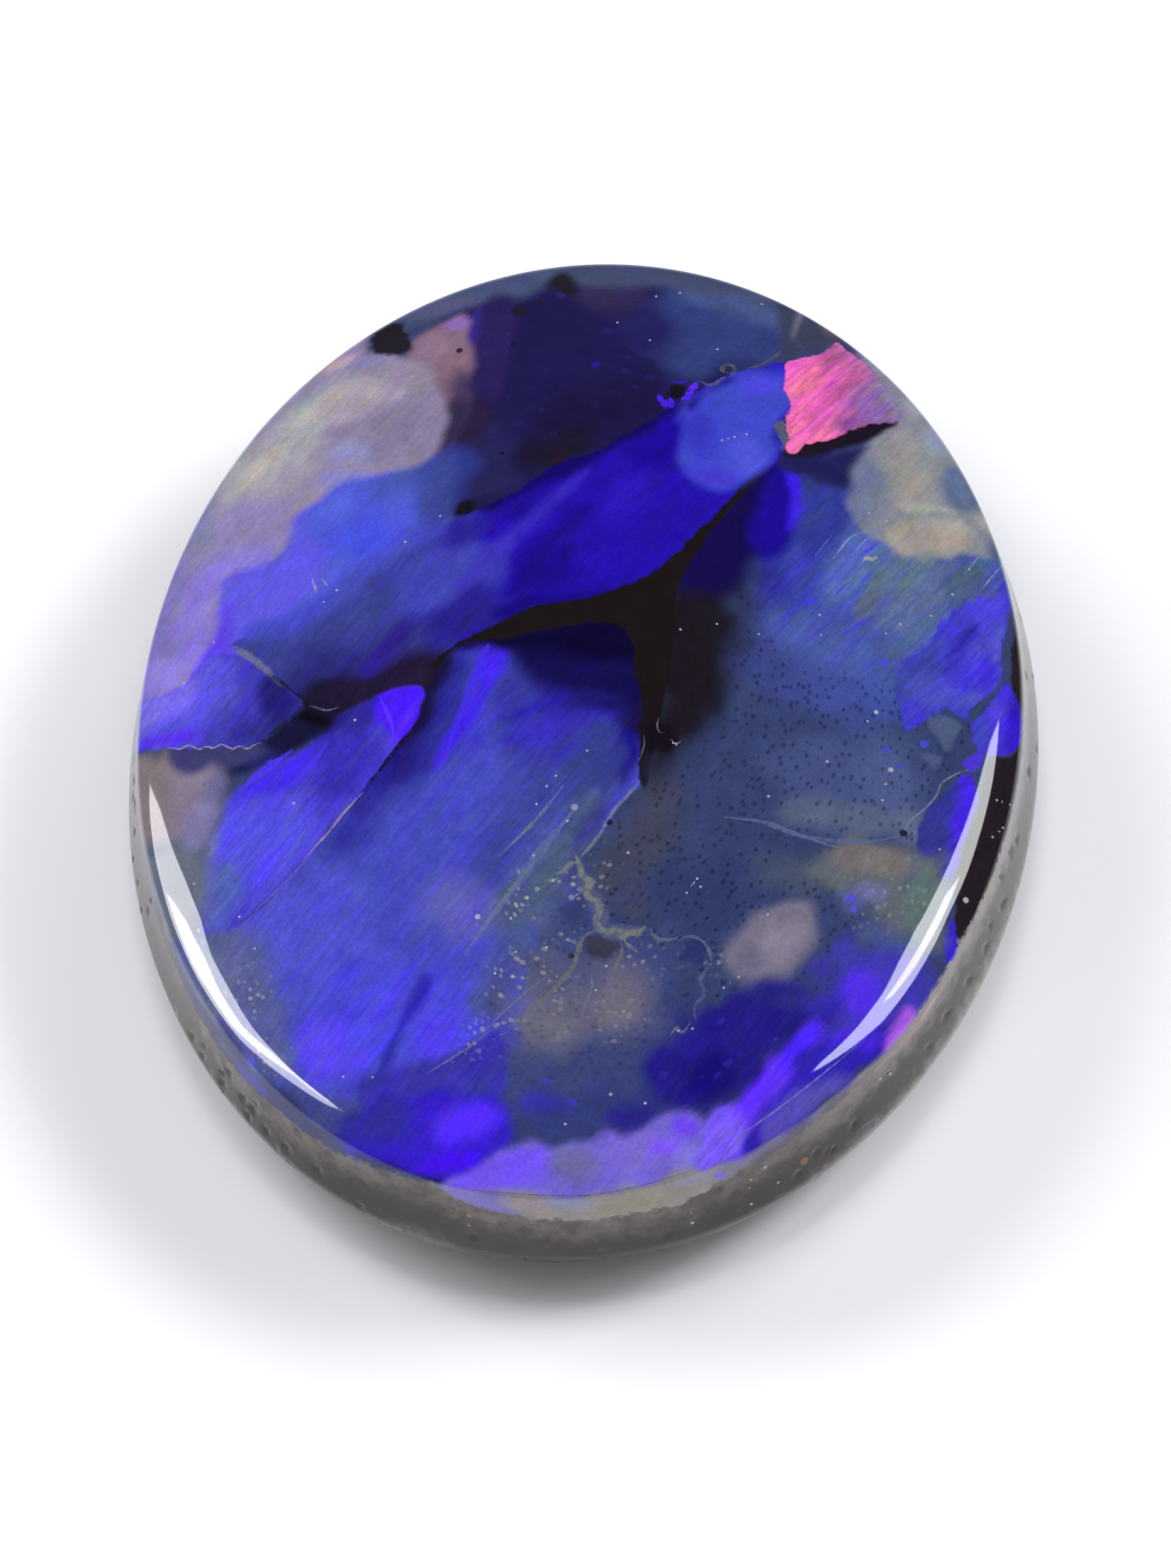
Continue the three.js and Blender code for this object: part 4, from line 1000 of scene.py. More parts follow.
def lay_patches(x, y):
    """Sorts the patches into layers, and gives the silk's and the dots' strength at each point.

    A patch goes on the lowest layer where it lies over all that it covers. A patch with a wide edge is
    blended into everything below it instead: it counts by a smooth step of the distance inside its outline,
    with a cloud's wander, over its softness.
    """
    ground, *patches = PATCHES
    outside = (-FAR, 0, -FAR)
    base = Layer(len(x), outside)
    base.colour[:] = shaded(ground, x, y)
    layers = [base]
    finish = np.zeros((len(x), 3))
    finish[:, 0] = ground.silk
    covered = np.zeros(len(x), int)  # the highest layer in use at each point
    for number, patch in enumerate(patches):
        here = near_box(patch.outline, x, y, patch.soft + patch.ragged + EDGE_REACH)
        inside = distance_inside(patch.outline, x[here], y[here])
        colour = shaded(patch, x[here], y[here])
        wander = cloud(x[here], y[here], PATCH_CLOUD, number) * patch.ragged
        weight = smooth_step((inside + wander) / max(patch.soft, CRISP) + 0.5)
        if patch.soft >= CRISP:
            for layer in layers:
                layer.colour[here] += (colour - layer.colour[here]) * weight[:, None]
        else:
            touched = here[inside > -patch.ragged - TOUCHING]
            level = covered[touched].max() + 1
            while len(layers) <= level:
                layers.append(Layer(len(x), outside))
            layer = layers[level]
            closer = inside > layer.inside[here]
            taken = here[closer]
            layer.inside[taken] = inside[closer]
            layer.colour[taken] = colour[closer]
            layer.edge[taken, 0] = np.clip(inside[closer], -EDGE_REACH, EDGE_REACH) / patch.soft
            layer.edge[taken, 1] = patch.ragged / patch.soft
            reached = here[inside > -patch.ragged - CLEAR]
            covered[reached] = np.maximum(covered[reached], level)
        finish[here, 0] += (patch.silk - finish[here, 0]) * weight
        finish[here, 1] += (patch.dots - finish[here, 1]) * weight
    return layers, finish


def shaded(patch, x, y):
    """A patch's colour at each point, with its soft shades over it in their order."""
    colour = np.tile(linear(patch.colour), (len(x), 1))
    for number, row in enumerate(patch.shades):
        shade = Shade(*row)
        here = near_box(shade.outline, x, y, shade.soft)
        wander = cloud(x[here], y[here], SHADE_CLOUD, SHADE_SEED + number) * shade.soft * SHADE_WANDER
        inside = distance_inside(shade.outline, x[here], y[here]) + wander
        weight = shade.strength * smooth_step(inside / shade.soft + 0.5)
        colour[here] += (linear(shade.colour) - colour[here]) * weight[:, None]
    return colour


def free_layer(layers, taken, count):
    """The first layer where none of these points is in use yet. It takes them."""
    for layer in layers:
        if not layer.inside[taken].max(initial=-FAR) > 0:
            break
    else:
        layer = Layer(count, (0, 0, 0))
        layers.append(layer)
    layer.inside[taken] = 1
    return layer


def lay_strokes(x, y):
    """Sorts the strokes into layers like the patches. Each point gets how far across the stroke it lies, in
    half widths, how far past its nearer end, in millimetres, and whether it is near a stroke at all."""
    layers = []
    for stroke in STROKES:
        curve = smooth_curve(stroke.points, closed=False)
        half = stroke.width / 2
        here = near_box(curve, x, y, half + MARK_REACH + SPACING)
        px, py = x[here], y[here]
        nearest = np.full(len(here), FAR)
        across = np.full(len(here), FAR)
        past = np.full(len(here), -FAR)
        lengths = np.hypot(*np.diff(curve, axis=0).T)
        before = np.concatenate([[0], np.cumsum(lengths)])
        last = len(lengths) - 1
        for number, ((ax, ay), (bx, by)) in enumerate(zip(curve[:-1], curve[1:])):
            run, rise = (bx - ax) / lengths[number], (by - ay) / lengths[number]
            along = (px - ax) * run + (py - ay) * rise
            kept = np.clip(along, -FAR if number == 0 else 0, FAR if number == last else lengths[number])
            gap = np.hypot(px - ax - kept * run, py - ay - kept * rise)
            side = np.sign((py - ay) * run - (px - ax) * rise)
            closer = gap < nearest
            nearest = np.where(closer, gap, nearest)
            across = np.where(closer, gap * side, across)
            end = before[number] + kept
            past = np.where(closer, np.maximum(-end, end - before[-1]), past)
        near = (nearest < half + MARK_REACH) & (past < MARK_REACH)
        taken = here[near]
        layer = free_layer(layers, taken, len(x))
        width = half * np.clip(-past[near] / stroke.taper, THINNEST, 1)
        layer.colour[taken] = linear(stroke.colour)
        layer.edge[taken] = np.stack([across[near] / width, past[near], np.ones(len(taken))], 1)
    return layers


def lay_specks(x, y):
    """Sorts the specks into layers. Each point gets its place from the middle of the speck, in radii, and
    whether it is near a speck at all."""
    layers = []
    for speck in SPECKS:
        taken = np.flatnonzero(np.hypot(x - speck.x, y - speck.y) < speck.radius + MARK_REACH)
        layer = free_layer(layers, taken, len(x))
        layer.colour[taken] = linear(speck.colour)
        place = np.stack([x[taken] - speck.x, y[taken] - speck.y], 1) / speck.radius
        layer.edge[taken] = np.column_stack([place, np.ones(len(taken))])
    return layers


def gathered(regions, x, y):
    """How strongly grains gather at each point, from 0 to 1: the strongest of its regions."""
    strength = np.zeros(len(x))
    for number, region in enumerate(regions):
        here = near_box(region.outline, x, y, region.soft)
        wander = cloud(x[here], y[here], REGION_CLOUD, REGION_SEED + number) * region.soft * REGION_WANDER
        inside = distance_inside(region.outline, x[here], y[here]) + wander
        weight = region.strength * smooth_step(inside / region.soft + 0.5)
        strength[here] = np.maximum(strength[here], weight)
    return strength


def wall_pits(x, y):
    """How deep each point lies in a small pit of the wall, from 0 to 1: round hollows with a bell-shaped
    section, the listed ones and others scattered round the wall."""
    random = np.random.default_rng(SCATTER_SEED)
    turn = random.uniform(-math.pi, math.pi, SCATTERED_PITS)
    reach = random.uniform(*SCATTERED_PIT_PLACES, SCATTERED_PITS)
    radius = random.uniform(*SCATTERED_PIT_RADII, SCATTERED_PITS)
    scattered = zip(reach * np.cos(turn), STRETCH * reach * np.sin(turn), radius)
    depth = np.zeros(len(x))
    for pit_x, pit_y, pit_radius in [*WALL_PITS, *scattered]:
        right, up = x - pit_x, y - pit_y
        near = np.flatnonzero(np.maximum(np.abs(right), np.abs(up)) < PIT_REACH * pit_radius)
        away = np.hypot(right[near], up[near]) / pit_radius
        depth[near] = np.maximum(depth[near], np.exp(-(away**2)))
    return depth


def put(mesh, name, values):
    """Stores three numbers for every point of a mesh under a name."""
    attribute = mesh.attributes.new(name, "FLOAT_VECTOR", "POINT")
    attribute.data.foreach_set("vector", np.asarray(values, np.float32).ravel())


def bent_net():
    """Where the skin's points lie, as their length along the section from the top and their turn round the
    stone, and the skin's faces.

    A square net is bent into a disc, each square ring of it into a round one. A ring's distance from the
    middle is its length along the section, spaced evenly on the dome and shoulder, on the tight edge, where
    the rings gather, and on the wall. Rings of the same points carry on round the belly, and a fan closes
    the resting face.
    """
    half_count = DOME_RINGS + EDGE_RINGS + WALL_RINGS
    count = 2 * half_count + 1
    net = np.linspace(-1, 1, count)
    a, b = np.meshgrid(net, net, indexing="ij")
    sideways = np.abs(a) > np.abs(b)
    longer = np.where(sideways, a, b)
    safe = np.where(longer == 0, 1, longer)
    turn = np.where(sideways, math.pi / 4 * b / safe, math.pi / 2 - math.pi / 4 * a / safe)
    turn = np.where(longer < 0, turn + math.pi, turn)
    girdle_along = float(np.interp(-GIRDLE_HEIGHT, -SECTION_HEIGHT, SECTION_ALONG))
    wall_length = WALL_TOP_INSET / math.sin(WALL_LEAN)
    edge_length = EDGE_RADIUS * (WALL_TILT - SHOULDER_EDGE_TILT)
    dome_length = girdle_along - wall_length - edge_length
    ring_knots = np.cumsum([0, DOME_RINGS, EDGE_RINGS, WALL_RINGS])
    along_knots = np.cumsum([0, dome_length, edge_length, wall_length])
    along = np.interp(np.abs(longer) * half_count, ring_knots, along_knots)

    index = np.arange(count**2).reshape(count, count)
    rim = np.concatenate([index[:-1, 0], index[-1, :-1], index[:0:-1, -1], index[0, :0:-1]])
    belly_along = np.linspace(girdle_along, SECTION_ALONG[-1], BELLY_RINGS + 1)[1:]
    along = np.concatenate([along.ravel(), np.repeat(belly_along, len(rim)), [SECTION_ALONG[-1]]])
    turn = np.concatenate([turn.ravel(), np.tile(turn.ravel()[rim], BELLY_RINGS), [0]])

    top = np.stack([index[:-1, :-1], index[1:, :-1], index[1:, 1:], index[:-1, 1:]], -1).reshape(-1, 4)
    rings = np.vstack([rim, count**2 + np.arange(BELLY_RINGS * len(rim)).reshape(BELLY_RINGS, -1)])
    after = np.roll(rings, -1, axis=1)
    belly = np.stack([rings[:-1], rings[1:], after[1:], after[:-1]], -1).reshape(-1, 4)
    middle = np.full(len(rim), len(along) - 1)
    resting_face = np.stack([rings[-1], middle, after[-1]], -1)
    return along, turn, belly.tolist() + top.tolist() + resting_face.tolist()


def polished_opal():
    """The stone's skin, and how many sheets its patches, strokes and specks take.

    Each point of the bent net takes its radius and height from the section at its length along it, and is
    stretched to the oval. The pits are pressed in square to the section. The pattern is stored with every
    point as attributes.
    """
    along, turn, faces = bent_net()
    radius = np.interp(along, SECTION_ALONG, SECTION_RADIUS)
    height = np.interp(along, SECTION_ALONG, SECTION_HEIGHT)
    radius[-1] = 0

    flat_x, flat_y = along * np.cos(turn), STRETCH * along * np.sin(turn)
    potch = along - np.interp(np.degrees(np.arctan2(np.sin(turn), np.cos(turn))), *zip(*POTCH_FROM))
    pit = wall_pits(flat_x, flat_y) * smooth_step(potch / PIT_FADE) * (along < SECTION_ALONG[-1] - PIT_FADE)
    facing_out = np.gradient(-SECTION_HEIGHT, SECTION_ALONG)
    facing_up = np.gradient(SECTION_RADIUS, SECTION_ALONG)
    radius = radius - PIT_DEPTH * pit * np.interp(along, SECTION_ALONG, facing_out)
    height = height - PIT_DEPTH * pit * np.interp(along, SECTION_ALONG, facing_up)
    points = np.stack([radius * np.cos(turn), STRETCH * radius * np.sin(turn), height], 1) * MM

    mesh = bpy.data.meshes.new("polished_opal")
    mesh.from_pydata(points, [], faces)
    mesh.shade_smooth()

    layers, finish = lay_patches(flat_x, flat_y)
    finish[:, 2] = pit
    flecked, sparkling = (gathered(regions, flat_x, flat_y) for regions in (FLECKED, SPARKLING))
    put(mesh, "flat", np.stack([flat_x, flat_y, potch], 1))
    put(mesh, "finish", finish)
    put(mesh, "grains", np.stack([flecked, sparkling, np.zeros(len(flat_x))], 1))
    kinds = {"patch": layers, "stroke": lay_strokes(flat_x, flat_y), "speck": lay_specks(flat_x, flat_y)}
    for kind, sheets in kinds.items():
        for number, layer in enumerate(sheets):
            put(mesh, f"{kind}_{number}_colour", layer.colour)
            put(mesh, f"{kind}_{number}_edge", layer.edge)
    opal = bpy.data.objects.new("polished_opal", mesh)
    bpy.context.scene.collection.objects.link(opal)
    return opal, {kind: len(sheets) for kind, sheets in kinds.items()}


def add(tree, kind, inputs=None, **settings):
    """Adds a node with its settings, feeds each socket a value or the output of another node, and gives the
    new node's own outputs."""
    made = tree.nodes.new("ShaderNode" + kind)
    for name, value in settings.items():
        setattr(made, name, value)
    for socket, value in (inputs or {}).items():
        if isinstance(value, bpy.types.NodeSocket):
            tree.links.new(value, made.inputs[socket])
        else:
            made.inputs[socket].default_value = value
    return made.outputs


def new_material(name):
    """A material with an empty node tree, and that tree."""
    material = bpy.data.materials.new(name)
    material.use_nodes = True
    material.node_tree.nodes.clear()
    return material, material.node_tree


def rgba(colour):
    """A hex colour as a socket's four numbers."""
    return (*linear(colour), 1)


# Sockets and settings that many nodes share.
FACTOR, BELOW, ABOVE, MIXED = 0, 6, 7, 2
PRODUCT = {"operation": "MULTIPLY"}
GAIN = {"operation": "MULTIPLY_ADD"}  # socket 0 times socket 1, plus socket 2
COLOURS = {"data_type": "RGBA"}
TIMES = {"data_type": "RGBA", "blend_type": "MULTIPLY"}
SMOOTH = {"interpolation_type": "SMOOTHSTEP"}

# What a pattern's noise is multiplied by, and what is then added.
CENTRED = {1: 4.0, 2: -2.0}  # makes a noise about one half into waves about nothing
MOTTLE_LIGHT = {1: 0.6, 2: 0.55}
FINE_GRAIN_LIGHT = {1: 0.48, 2: 0.76}
DOT_LIGHT = {1: -0.45, 2: 1.0}
HUE_SPREAD = {1: 7.0, 2: -3.5}
TEETH_LENGTH = {1: 0.24, 2: -0.12}

# How many waves, dots or grains of each pattern go to a millimetre of the stone.
WANDER_PER_MM = 5.0  # an edge wanders in waves of a fifth of a millimetre
SILK_PER_MM = (2.2, 15.0, 0)  # striations nearly half a millimetre long and 0.07 mm apart
SILK_LEAN = math.radians(-57)  # they rise to the right
HUE_PER_MM = (1.0, 5.5, 0)  # broader ones that differ in hue, a millimetre long and 0.18 mm apart
MOTTLE_PER_MM = 2.6
FINE_GRAIN_PER_MM = 20.0
DOTS_PER_MM = 7.7  # dark dots 0.13 mm apart
FLECKS_PER_MM = 1 / 0.085
SPARKS_PER_MM = 1 / 0.16
POTCH_GRAIN_PER_MM = 2.6
CRYSTALS_PER_MM = 4.5
TEETH_PER_MM = 8.0  # the potch begins with teeth an eighth of a millimetre wide
WEAR_PER_MM = 13.0

# How far the waves move an edge: a grain's or speck's as a share of its size, a stroke's in half widths, and
# the others' in millimetres. The teeth move a stroke's edge too.
GRAIN_WANDER = 0.3
STROKE_WANDER = 0.45
STROKE_TEETH = 4.0
BAND_WANDER = 0.12
POTCH_WANDER = 0.03

SLATE_TINT = (1.0, 1.35, 0.62, 1)
VIOLET_TINT = (1.0, 0.65, 1.38, 1)
FLECK_FREE, SPARK_FREE, CRYSTAL_FREE = 0.55, 0.75, 0.86  # the share of the cells that hold none
BAND_DEPTH = 0.65  # the potch's dark band, below the colour
PIT_BROWN = 0.85  # how far a pit's middle is brown
WHOLLY_NEAR = 0.999  # the stored nearness is above this only between points that are all near the mark
POLISH_ROUGHNESS = 0.035
POTCH_ROUGHNESS_GAIN = 0.10


def play_of_colour(node, wander, count):
    """The sheets of patches, each over those below it where the distance inside its outline, with the
    wander, is more than nothing."""
    colour = node("Attribute", attribute_name="patch_0_colour")["Vector"]
    for number in range(1, count):
        edge = node("Attribute", attribute_name=f"patch_{number}_edge")["Vector"]
        inside, ragged, _ = node("SeparateXYZ", {0: edge})
        inside = node("Math", {0: wander, 1: ragged, 2: inside}, **GAIN)[0]
        cover = node("MapRange", {"Value": inside, "From Min": -0.5, "From Max": 0.5}, **SMOOTH)[0]
        above = node("Attribute", attribute_name=f"patch_{number}_colour")["Vector"]
        colour = node("Mix", {FACTOR: cover, BELOW: colour, ABOVE: above}, **COLOURS)[MIXED]
    return colour


def silken(node, colour, flat, silk_strength, dot_strength):
    """A colour lit by striations, a mottle of some tenths of a millimetre, a fine grain and dark dots, and
    tinted by broader striations, from slate to violet."""
    turned = node("Mapping", {0: flat, "Rotation": (0, 0, SILK_LEAN), "Scale": (1, 1, 0)})[0]
    drawn = node("Mapping", {0: turned, "Scale": SILK_PER_MM})[0]
    silk = node("TexNoise", {"Vector": drawn, "Scale": 1.0, "Detail": 5.0, "Roughness": 0.68})["Fac"]
    silk = node("Math", {0: silk, **CENTRED}, **GAIN)[0]
    silk = node("Math", {0: silk, 1: silk_strength, 2: 1.0}, **GAIN)[0]
    noise = {"Vector": flat, "Scale": MOTTLE_PER_MM, "Detail": 6.0, "Roughness": 0.68}
    mottle = node("TexNoise", noise)["Fac"]
    mottle = node("Math", {0: mottle, **MOTTLE_LIGHT}, **GAIN)[0]
    noise = {"Vector": flat, "Scale": FINE_GRAIN_PER_MM, "Detail": 2.0, "Roughness": 0.6}
    fine = node("TexNoise", noise)["Fac"]
    fine = node("Math", {0: fine, **FINE_GRAIN_LIGHT}, **GAIN)[0]
    away = node("TexVoronoi", {"Vector": flat, "Scale": DOTS_PER_MM})["Distance"]
    dot = node("MapRange", {"Value": away, "From Min": 0.36, "From Max": 0.16}, **SMOOTH)[0]
    dot = node("Math", {0: dot, 1: dot_strength}, **PRODUCT)[0]
    dot = node("Math", {0: dot, **DOT_LIGHT}, **GAIN)[0]
    light = silk
    for factor in (mottle, fine, dot):
        light = node("Math", {0: light, 1: factor}, **PRODUCT)[0]
    colour = node("Mix", {FACTOR: 1.0, BELOW: colour, ABOVE: light}, **TIMES)[MIXED]

    drawn = node("Mapping", {0: turned, "Scale": HUE_PER_MM})[0]
    hue = node("TexNoise", {"Vector": drawn, "Scale": 1.0, "Detail": 6.0, "Roughness": 0.72})["Fac"]
    hue = node("Math", {0: hue, **HUE_SPREAD}, **GAIN)[0]
    hue = node("Math", {0: hue, 1: silk_strength, 2: 0.5}, **GAIN, use_clamp=True)[0]
    tint = node("Mix", {FACTOR: hue, BELOW: SLATE_TINT, ABOVE: VIOLET_TINT}, **COLOURS)[MIXED]
    return node("Mix", {FACTOR: 1.0, BELOW: colour, ABOVE: tint}, **TIMES)[MIXED]


def with_grains(node, colour, flat, wander, grains):
    """A colour with the grains that gather in some regions: a share of the cells of a net of random points
    holds one, as far as the region is strong."""
    for strength, per_mm, empty, grain_colour in grains:
        cells = node("TexVoronoi", {"Vector": flat, "Scale": per_mm})
        rank = node("SeparateXYZ", {0: cells["Color"]})[0]
        chosen = node("MapRange", {"Value": rank, "From Min": empty, "From Max": 1.0}, **SMOOTH)[0]
        away = node("Math", {0: wander, 1: GRAIN_WANDER, 2: cells["Distance"]}, **GAIN)[0]
        cover = node("MapRange", {"Value": away, "From Min": 0.55, "From Max": 0.2}, **SMOOTH)[0]
        for factor in (chosen, strength):
            cover = node("Math", {0: cover, 1: factor}, **PRODUCT)[0]
        colour = node("Mix", {FACTOR: cover, BELOW: colour, ABOVE: rgba(grain_colour)}, **COLOURS)[MIXED]
    return colour


def potch(node, wander, flat_right, depth, pit):
    """The potch's colour and its grain: brown-grey, with a few pale crystals and brown pits. It is darkest
    in a brown band two thirds of a millimetre below the colour. It is paler on the right, which is painted
    light on the side that the light falls on, and brown again towards the foot, which is partly the potch's
    own colour and partly painted shade under the belly."""
    place = node("TexCoord")["Object"]
    in_mm = node("Mapping", {0: place, "Scale": (1 / MM, 1 / MM, 1 / MM)})[0]
    noise = {"Vector": in_mm, "Scale": POTCH_GRAIN_PER_MM, "Detail": 8.0, "Roughness": 0.72}
    grain = node("TexNoise", noise)["Fac"]
    lighter = node("MapRange", {"Value": grain, "From Min": 0.36, "From Max": 0.64}, **SMOOTH)[0]
    cells = node("TexVoronoi", {"Vector": in_mm, "Scale": CRYSTALS_PER_MM})
    rank = node("SeparateXYZ", {0: cells["Color"]})[0]
    chosen = node("Math", {0: rank, 1: CRYSTAL_FREE}, operation="GREATER_THAN")[0]
    near = {"Value": cells["Distance"], "From Min": 0.12, "From Max": 0.06}
    crystal = node("MapRange", near, **SMOOTH)[0]
    crystal = node("Math", {0: crystal, 1: chosen}, **PRODUCT)[0]
    # Painted light: the potch is paler towards the right, on the side that the light falls on.
    right_side_painted_light = {"Value": flat_right, "From Min": 2.8, "From Max": 5.2, "To Max": 0.6}
    off_band = node("Math", {0: wander, 1: BAND_WANDER, 2: depth}, **GAIN)[0]
    off_band = node("Math", {0: off_band, 1: BAND_DEPTH}, operation="SUBTRACT")[0]
    off_band = node("Math", {0: off_band}, operation="ABSOLUTE")[0]
    in_band = {"Value": off_band, "From Min": 0.6, "From Max": 0.1, "To Max": 0.9}
    rise = node("SeparateXYZ", {0: in_mm})[2]
    # Darker brown towards the foot: partly the potch's own colour, partly painted shade under the belly.
    foot_tone_and_shade = {"Value": rise, "From Min": 1.0, "From Max": 0.2, "To Max": 0.6}
    stone = rgba("4b4544")
    for cover, shade in (
        (lighter, "6a6462"),
        (crystal, "a8a29e"),
        # painted light on the right side
        (node("MapRange", right_side_painted_light, **SMOOTH)[0], "9c9692"),
        (node("MapRange", in_band, **SMOOTH)[0], "2c2623"),
        # partly the potch's own colour, partly painted shade under the belly
        (node("MapRange", foot_tone_and_shade, **SMOOTH)[0], "3a312b"),
        (node("Math", {0: pit, 1: PIT_BROWN}, **PRODUCT)[0], "2c2420"),
    ):
        stone = node("Mix", {FACTOR: cover, BELOW: stone, ABOVE: rgba(shade)}, **COLOURS)[MIXED]
    return stone, grain


def marks_over(node, colour, kind, count, cover_by):
    """The sheets of strokes or specks, each over the colour where a function of its edge's first two numbers
    says that it covers it."""
    for number in range(count):
        edge = node("Attribute", attribute_name=f"{kind}_{number}_edge")["Vector"]
        first, second, near = node("SeparateXYZ", {0: edge})
        cover = cover_by(first, second)
        near = node("Math", {0: near, 1: WHOLLY_NEAR}, operation="GREATER_THAN")[0]
        cover = node("Math", {0: cover, 1: near}, **PRODUCT)[0]
        above = node("Attribute", attribute_name=f"{kind}_{number}_colour")["Vector"]
        colour = node("Mix", {FACTOR: cover, BELOW: colour, ABOVE: above}, **COLOURS)[MIXED]
    return colour


def polished_black_opal(sheets):
    """Precious opal over its own potch, cut and polished to glass.

    The colour lies just under the polish in flat patches with silky striations, so it is all in the base
    colour. The polish gives sharp white reflections. The potch wall is a little less shiny and has a grain.
    """
    material, tree = new_material("polished_black_opal")
    node = partial(add, tree)

    flat = node("Attribute", attribute_name="flat")["Vector"]
    flat_right, _, potch_depth = node("SeparateXYZ", {0: flat})
    finish = node("Attribute", attribute_name="finish")["Vector"]
    silk_strength, dot_strength, pit = node("SeparateXYZ", {0: finish})
    grains = node("Attribute", attribute_name="grains")["Vector"]
    fleck_strength, spark_strength, _ = node("SeparateXYZ", {0: grains})
    edge_noise = {"Vector": flat, "Scale": WANDER_PER_MM, "Detail": 4.0, "Roughness": 0.55}
    wander = node("TexNoise", edge_noise)["Fac"]
    wander = node("Math", {0: wander, **CENTRED}, **GAIN)[0]

    colour = play_of_colour(node, wander, sheets["patch"])
    colour = silken(node, colour, flat, silk_strength, dot_strength)
    flecks = (fleck_strength, FLECKS_PER_MM, FLECK_FREE, "8a8990")
    sparks = (spark_strength, SPARKS_PER_MM, SPARK_FREE, "3a34a8")
    colour = with_grains(node, colour, flat, wander, (flecks, sparks))

    stone, stone_grain = potch(node, wander, flat_right, potch_depth, pit)
    teeth = node("TexNoise", {"Vector": flat, "Scale": TEETH_PER_MM, "Detail": 3.0, "Roughness": 0.6})["Fac"]
    teeth = node("Math", {0: teeth, **TEETH_LENGTH}, **GAIN)[0]
    past_edge = node("Math", {0: wander, 1: POTCH_WANDER, 2: potch_depth}, **GAIN)[0]
    past_edge = node("Math", {0: past_edge, 1: teeth}, operation="ADD")[0]
    bare = node("MapRange", {"Value": past_edge, "From Min": -0.03, "From Max": 0.03}, **SMOOTH)[0]
    colour = node("Mix", {FACTOR: bare, BELOW: colour, ABOVE: stone}, **COLOURS)[MIXED]

    # Lines are worn through in places.
    wear = node("TexNoise", {"Vector": flat, "Scale": WEAR_PER_MM, "Detail": 3.0, "Roughness": 0.65})["Fac"]
    worn = node("MapRange", {"Value": wear, "From Min": 0.36, "From Max": 0.58, "To Min": 0.35})[0]

    def by_stroke(across, past):
        """Within half a width of the line and before its ends, with ragged sides, less where it is worn."""
        across = node("Math", {0: across}, operation="ABSOLUTE")[0]
        across = node("Math", {0: wander, 1: STROKE_WANDER, 2: across}, **GAIN)[0]
        across = node("Math", {0: teeth, 1: STROKE_TEETH, 2: across}, **GAIN)[0]
        beside = node("MapRange", {"Value": across, "From Min": 1.4, "From Max": 0.6}, **SMOOTH)[0]
        within = node("MapRange", {"Value": past, "From Min": 0.02, "From Max": -0.02}, **SMOOTH)[0]
        cover = node("Math", {0: beside, 1: within}, **PRODUCT)[0]
        return node("Math", {0: cover, 1: worn}, **PRODUCT)[0]

    def by_speck(right, up):
        """Within a radius of the middle, with a ragged edge."""
        spot = node("CombineXYZ", {0: right, 1: up})[0]
        away = node("VectorMath", {0: spot}, operation="LENGTH")["Value"]
        away = node("Math", {0: wander, 1: GRAIN_WANDER, 2: away}, **GAIN)[0]
        return node("MapRange", {"Value": away, "From Min": 1.3, "From Max": 0.7}, **SMOOTH)[0]

    colour = marks_over(node, colour, "stroke", sheets["stroke"], by_stroke)
    colour = marks_over(node, colour, "speck", sheets["speck"], by_speck)

    gloss = {0: bare, 1: POTCH_ROUGHNESS_GAIN, 2: POLISH_ROUGHNESS}
    roughness = node("Math", gloss, **GAIN)[0]
    height = node("Math", {0: stone_grain, 1: bare}, **PRODUCT)[0]
    relief = node("Bump", {"Strength": 0.12, "Distance": 0.02 * MM, "Height": height})[0]
    looks = {"Base Color": colour, "Roughness": roughness, "IOR": 1.45, "Normal": relief}
    shader = node("BsdfPrincipled", looks)[0]
    node("OutputMaterial", {"Surface": shader})
    return material


opal, sheet_counts = polished_opal()
opal.data.materials.append(polished_black_opal(sheet_counts))
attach(opal, "root")
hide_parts("opal_cabochon")

# The camera looks down on the stone, a little from the right, with a slight roll.
CAMERA_TURN = math.radians(9.96)
CAMERA_RISE = math.radians(60)
CAMERA_ROLL = math.radians(-5)
CAMERA_DISTANCE = 98.05
AIM_HEIGHT = 1.5
AIM_DROP = 0.595  # the camera aims this far below the stone's middle, across its own view
LENS = 180
SENSOR = 36
NEAREST_SEEN, FARTHEST_SEEN = 5, 5000


def towards(turn, rise):
    """The direction with a turn to the right from straight before the stone, and a rise above the floor, as
    an array whose last axis holds x, y and z."""
    return np.stack([np.sin(turn) * np.cos(rise), -np.cos(turn) * np.cos(rise), np.sin(rise)], -1)


def place_camera():
    """A long lens on a line through the aim: the rise and the turn give its direction, the roll its top."""
    back = towards(CAMERA_TURN, CAMERA_RISE)
    right = np.array([math.cos(CAMERA_TURN), math.sin(CAMERA_TURN), 0])
    up = np.cross(back, right)
    rolled_right = right * math.cos(CAMERA_ROLL) + up * math.sin(CAMERA_ROLL)
    rolled_up = -right * math.sin(CAMERA_ROLL) + up * math.cos(CAMERA_ROLL)
    place = np.array([0, 0, AIM_HEIGHT]) - AIM_DROP * up + CAMERA_DISTANCE * back
    lens = bpy.data.cameras.new("camera")
    lens.lens = LENS
    lens.sensor_width = SENSOR
    lens.clip_start = NEAREST_SEEN * MM
    lens.clip_end = FARTHEST_SEEN * MM
    camera = bpy.data.objects.new("camera", lens)
    rows = np.column_stack([rolled_right, rolled_up, back, place * MM])
    camera.matrix_world = Matrix([*rows.tolist(), (0, 0, 0, 1)])
    bpy.context.scene.collection.objects.link(camera)
    bpy.context.scene.camera = camera


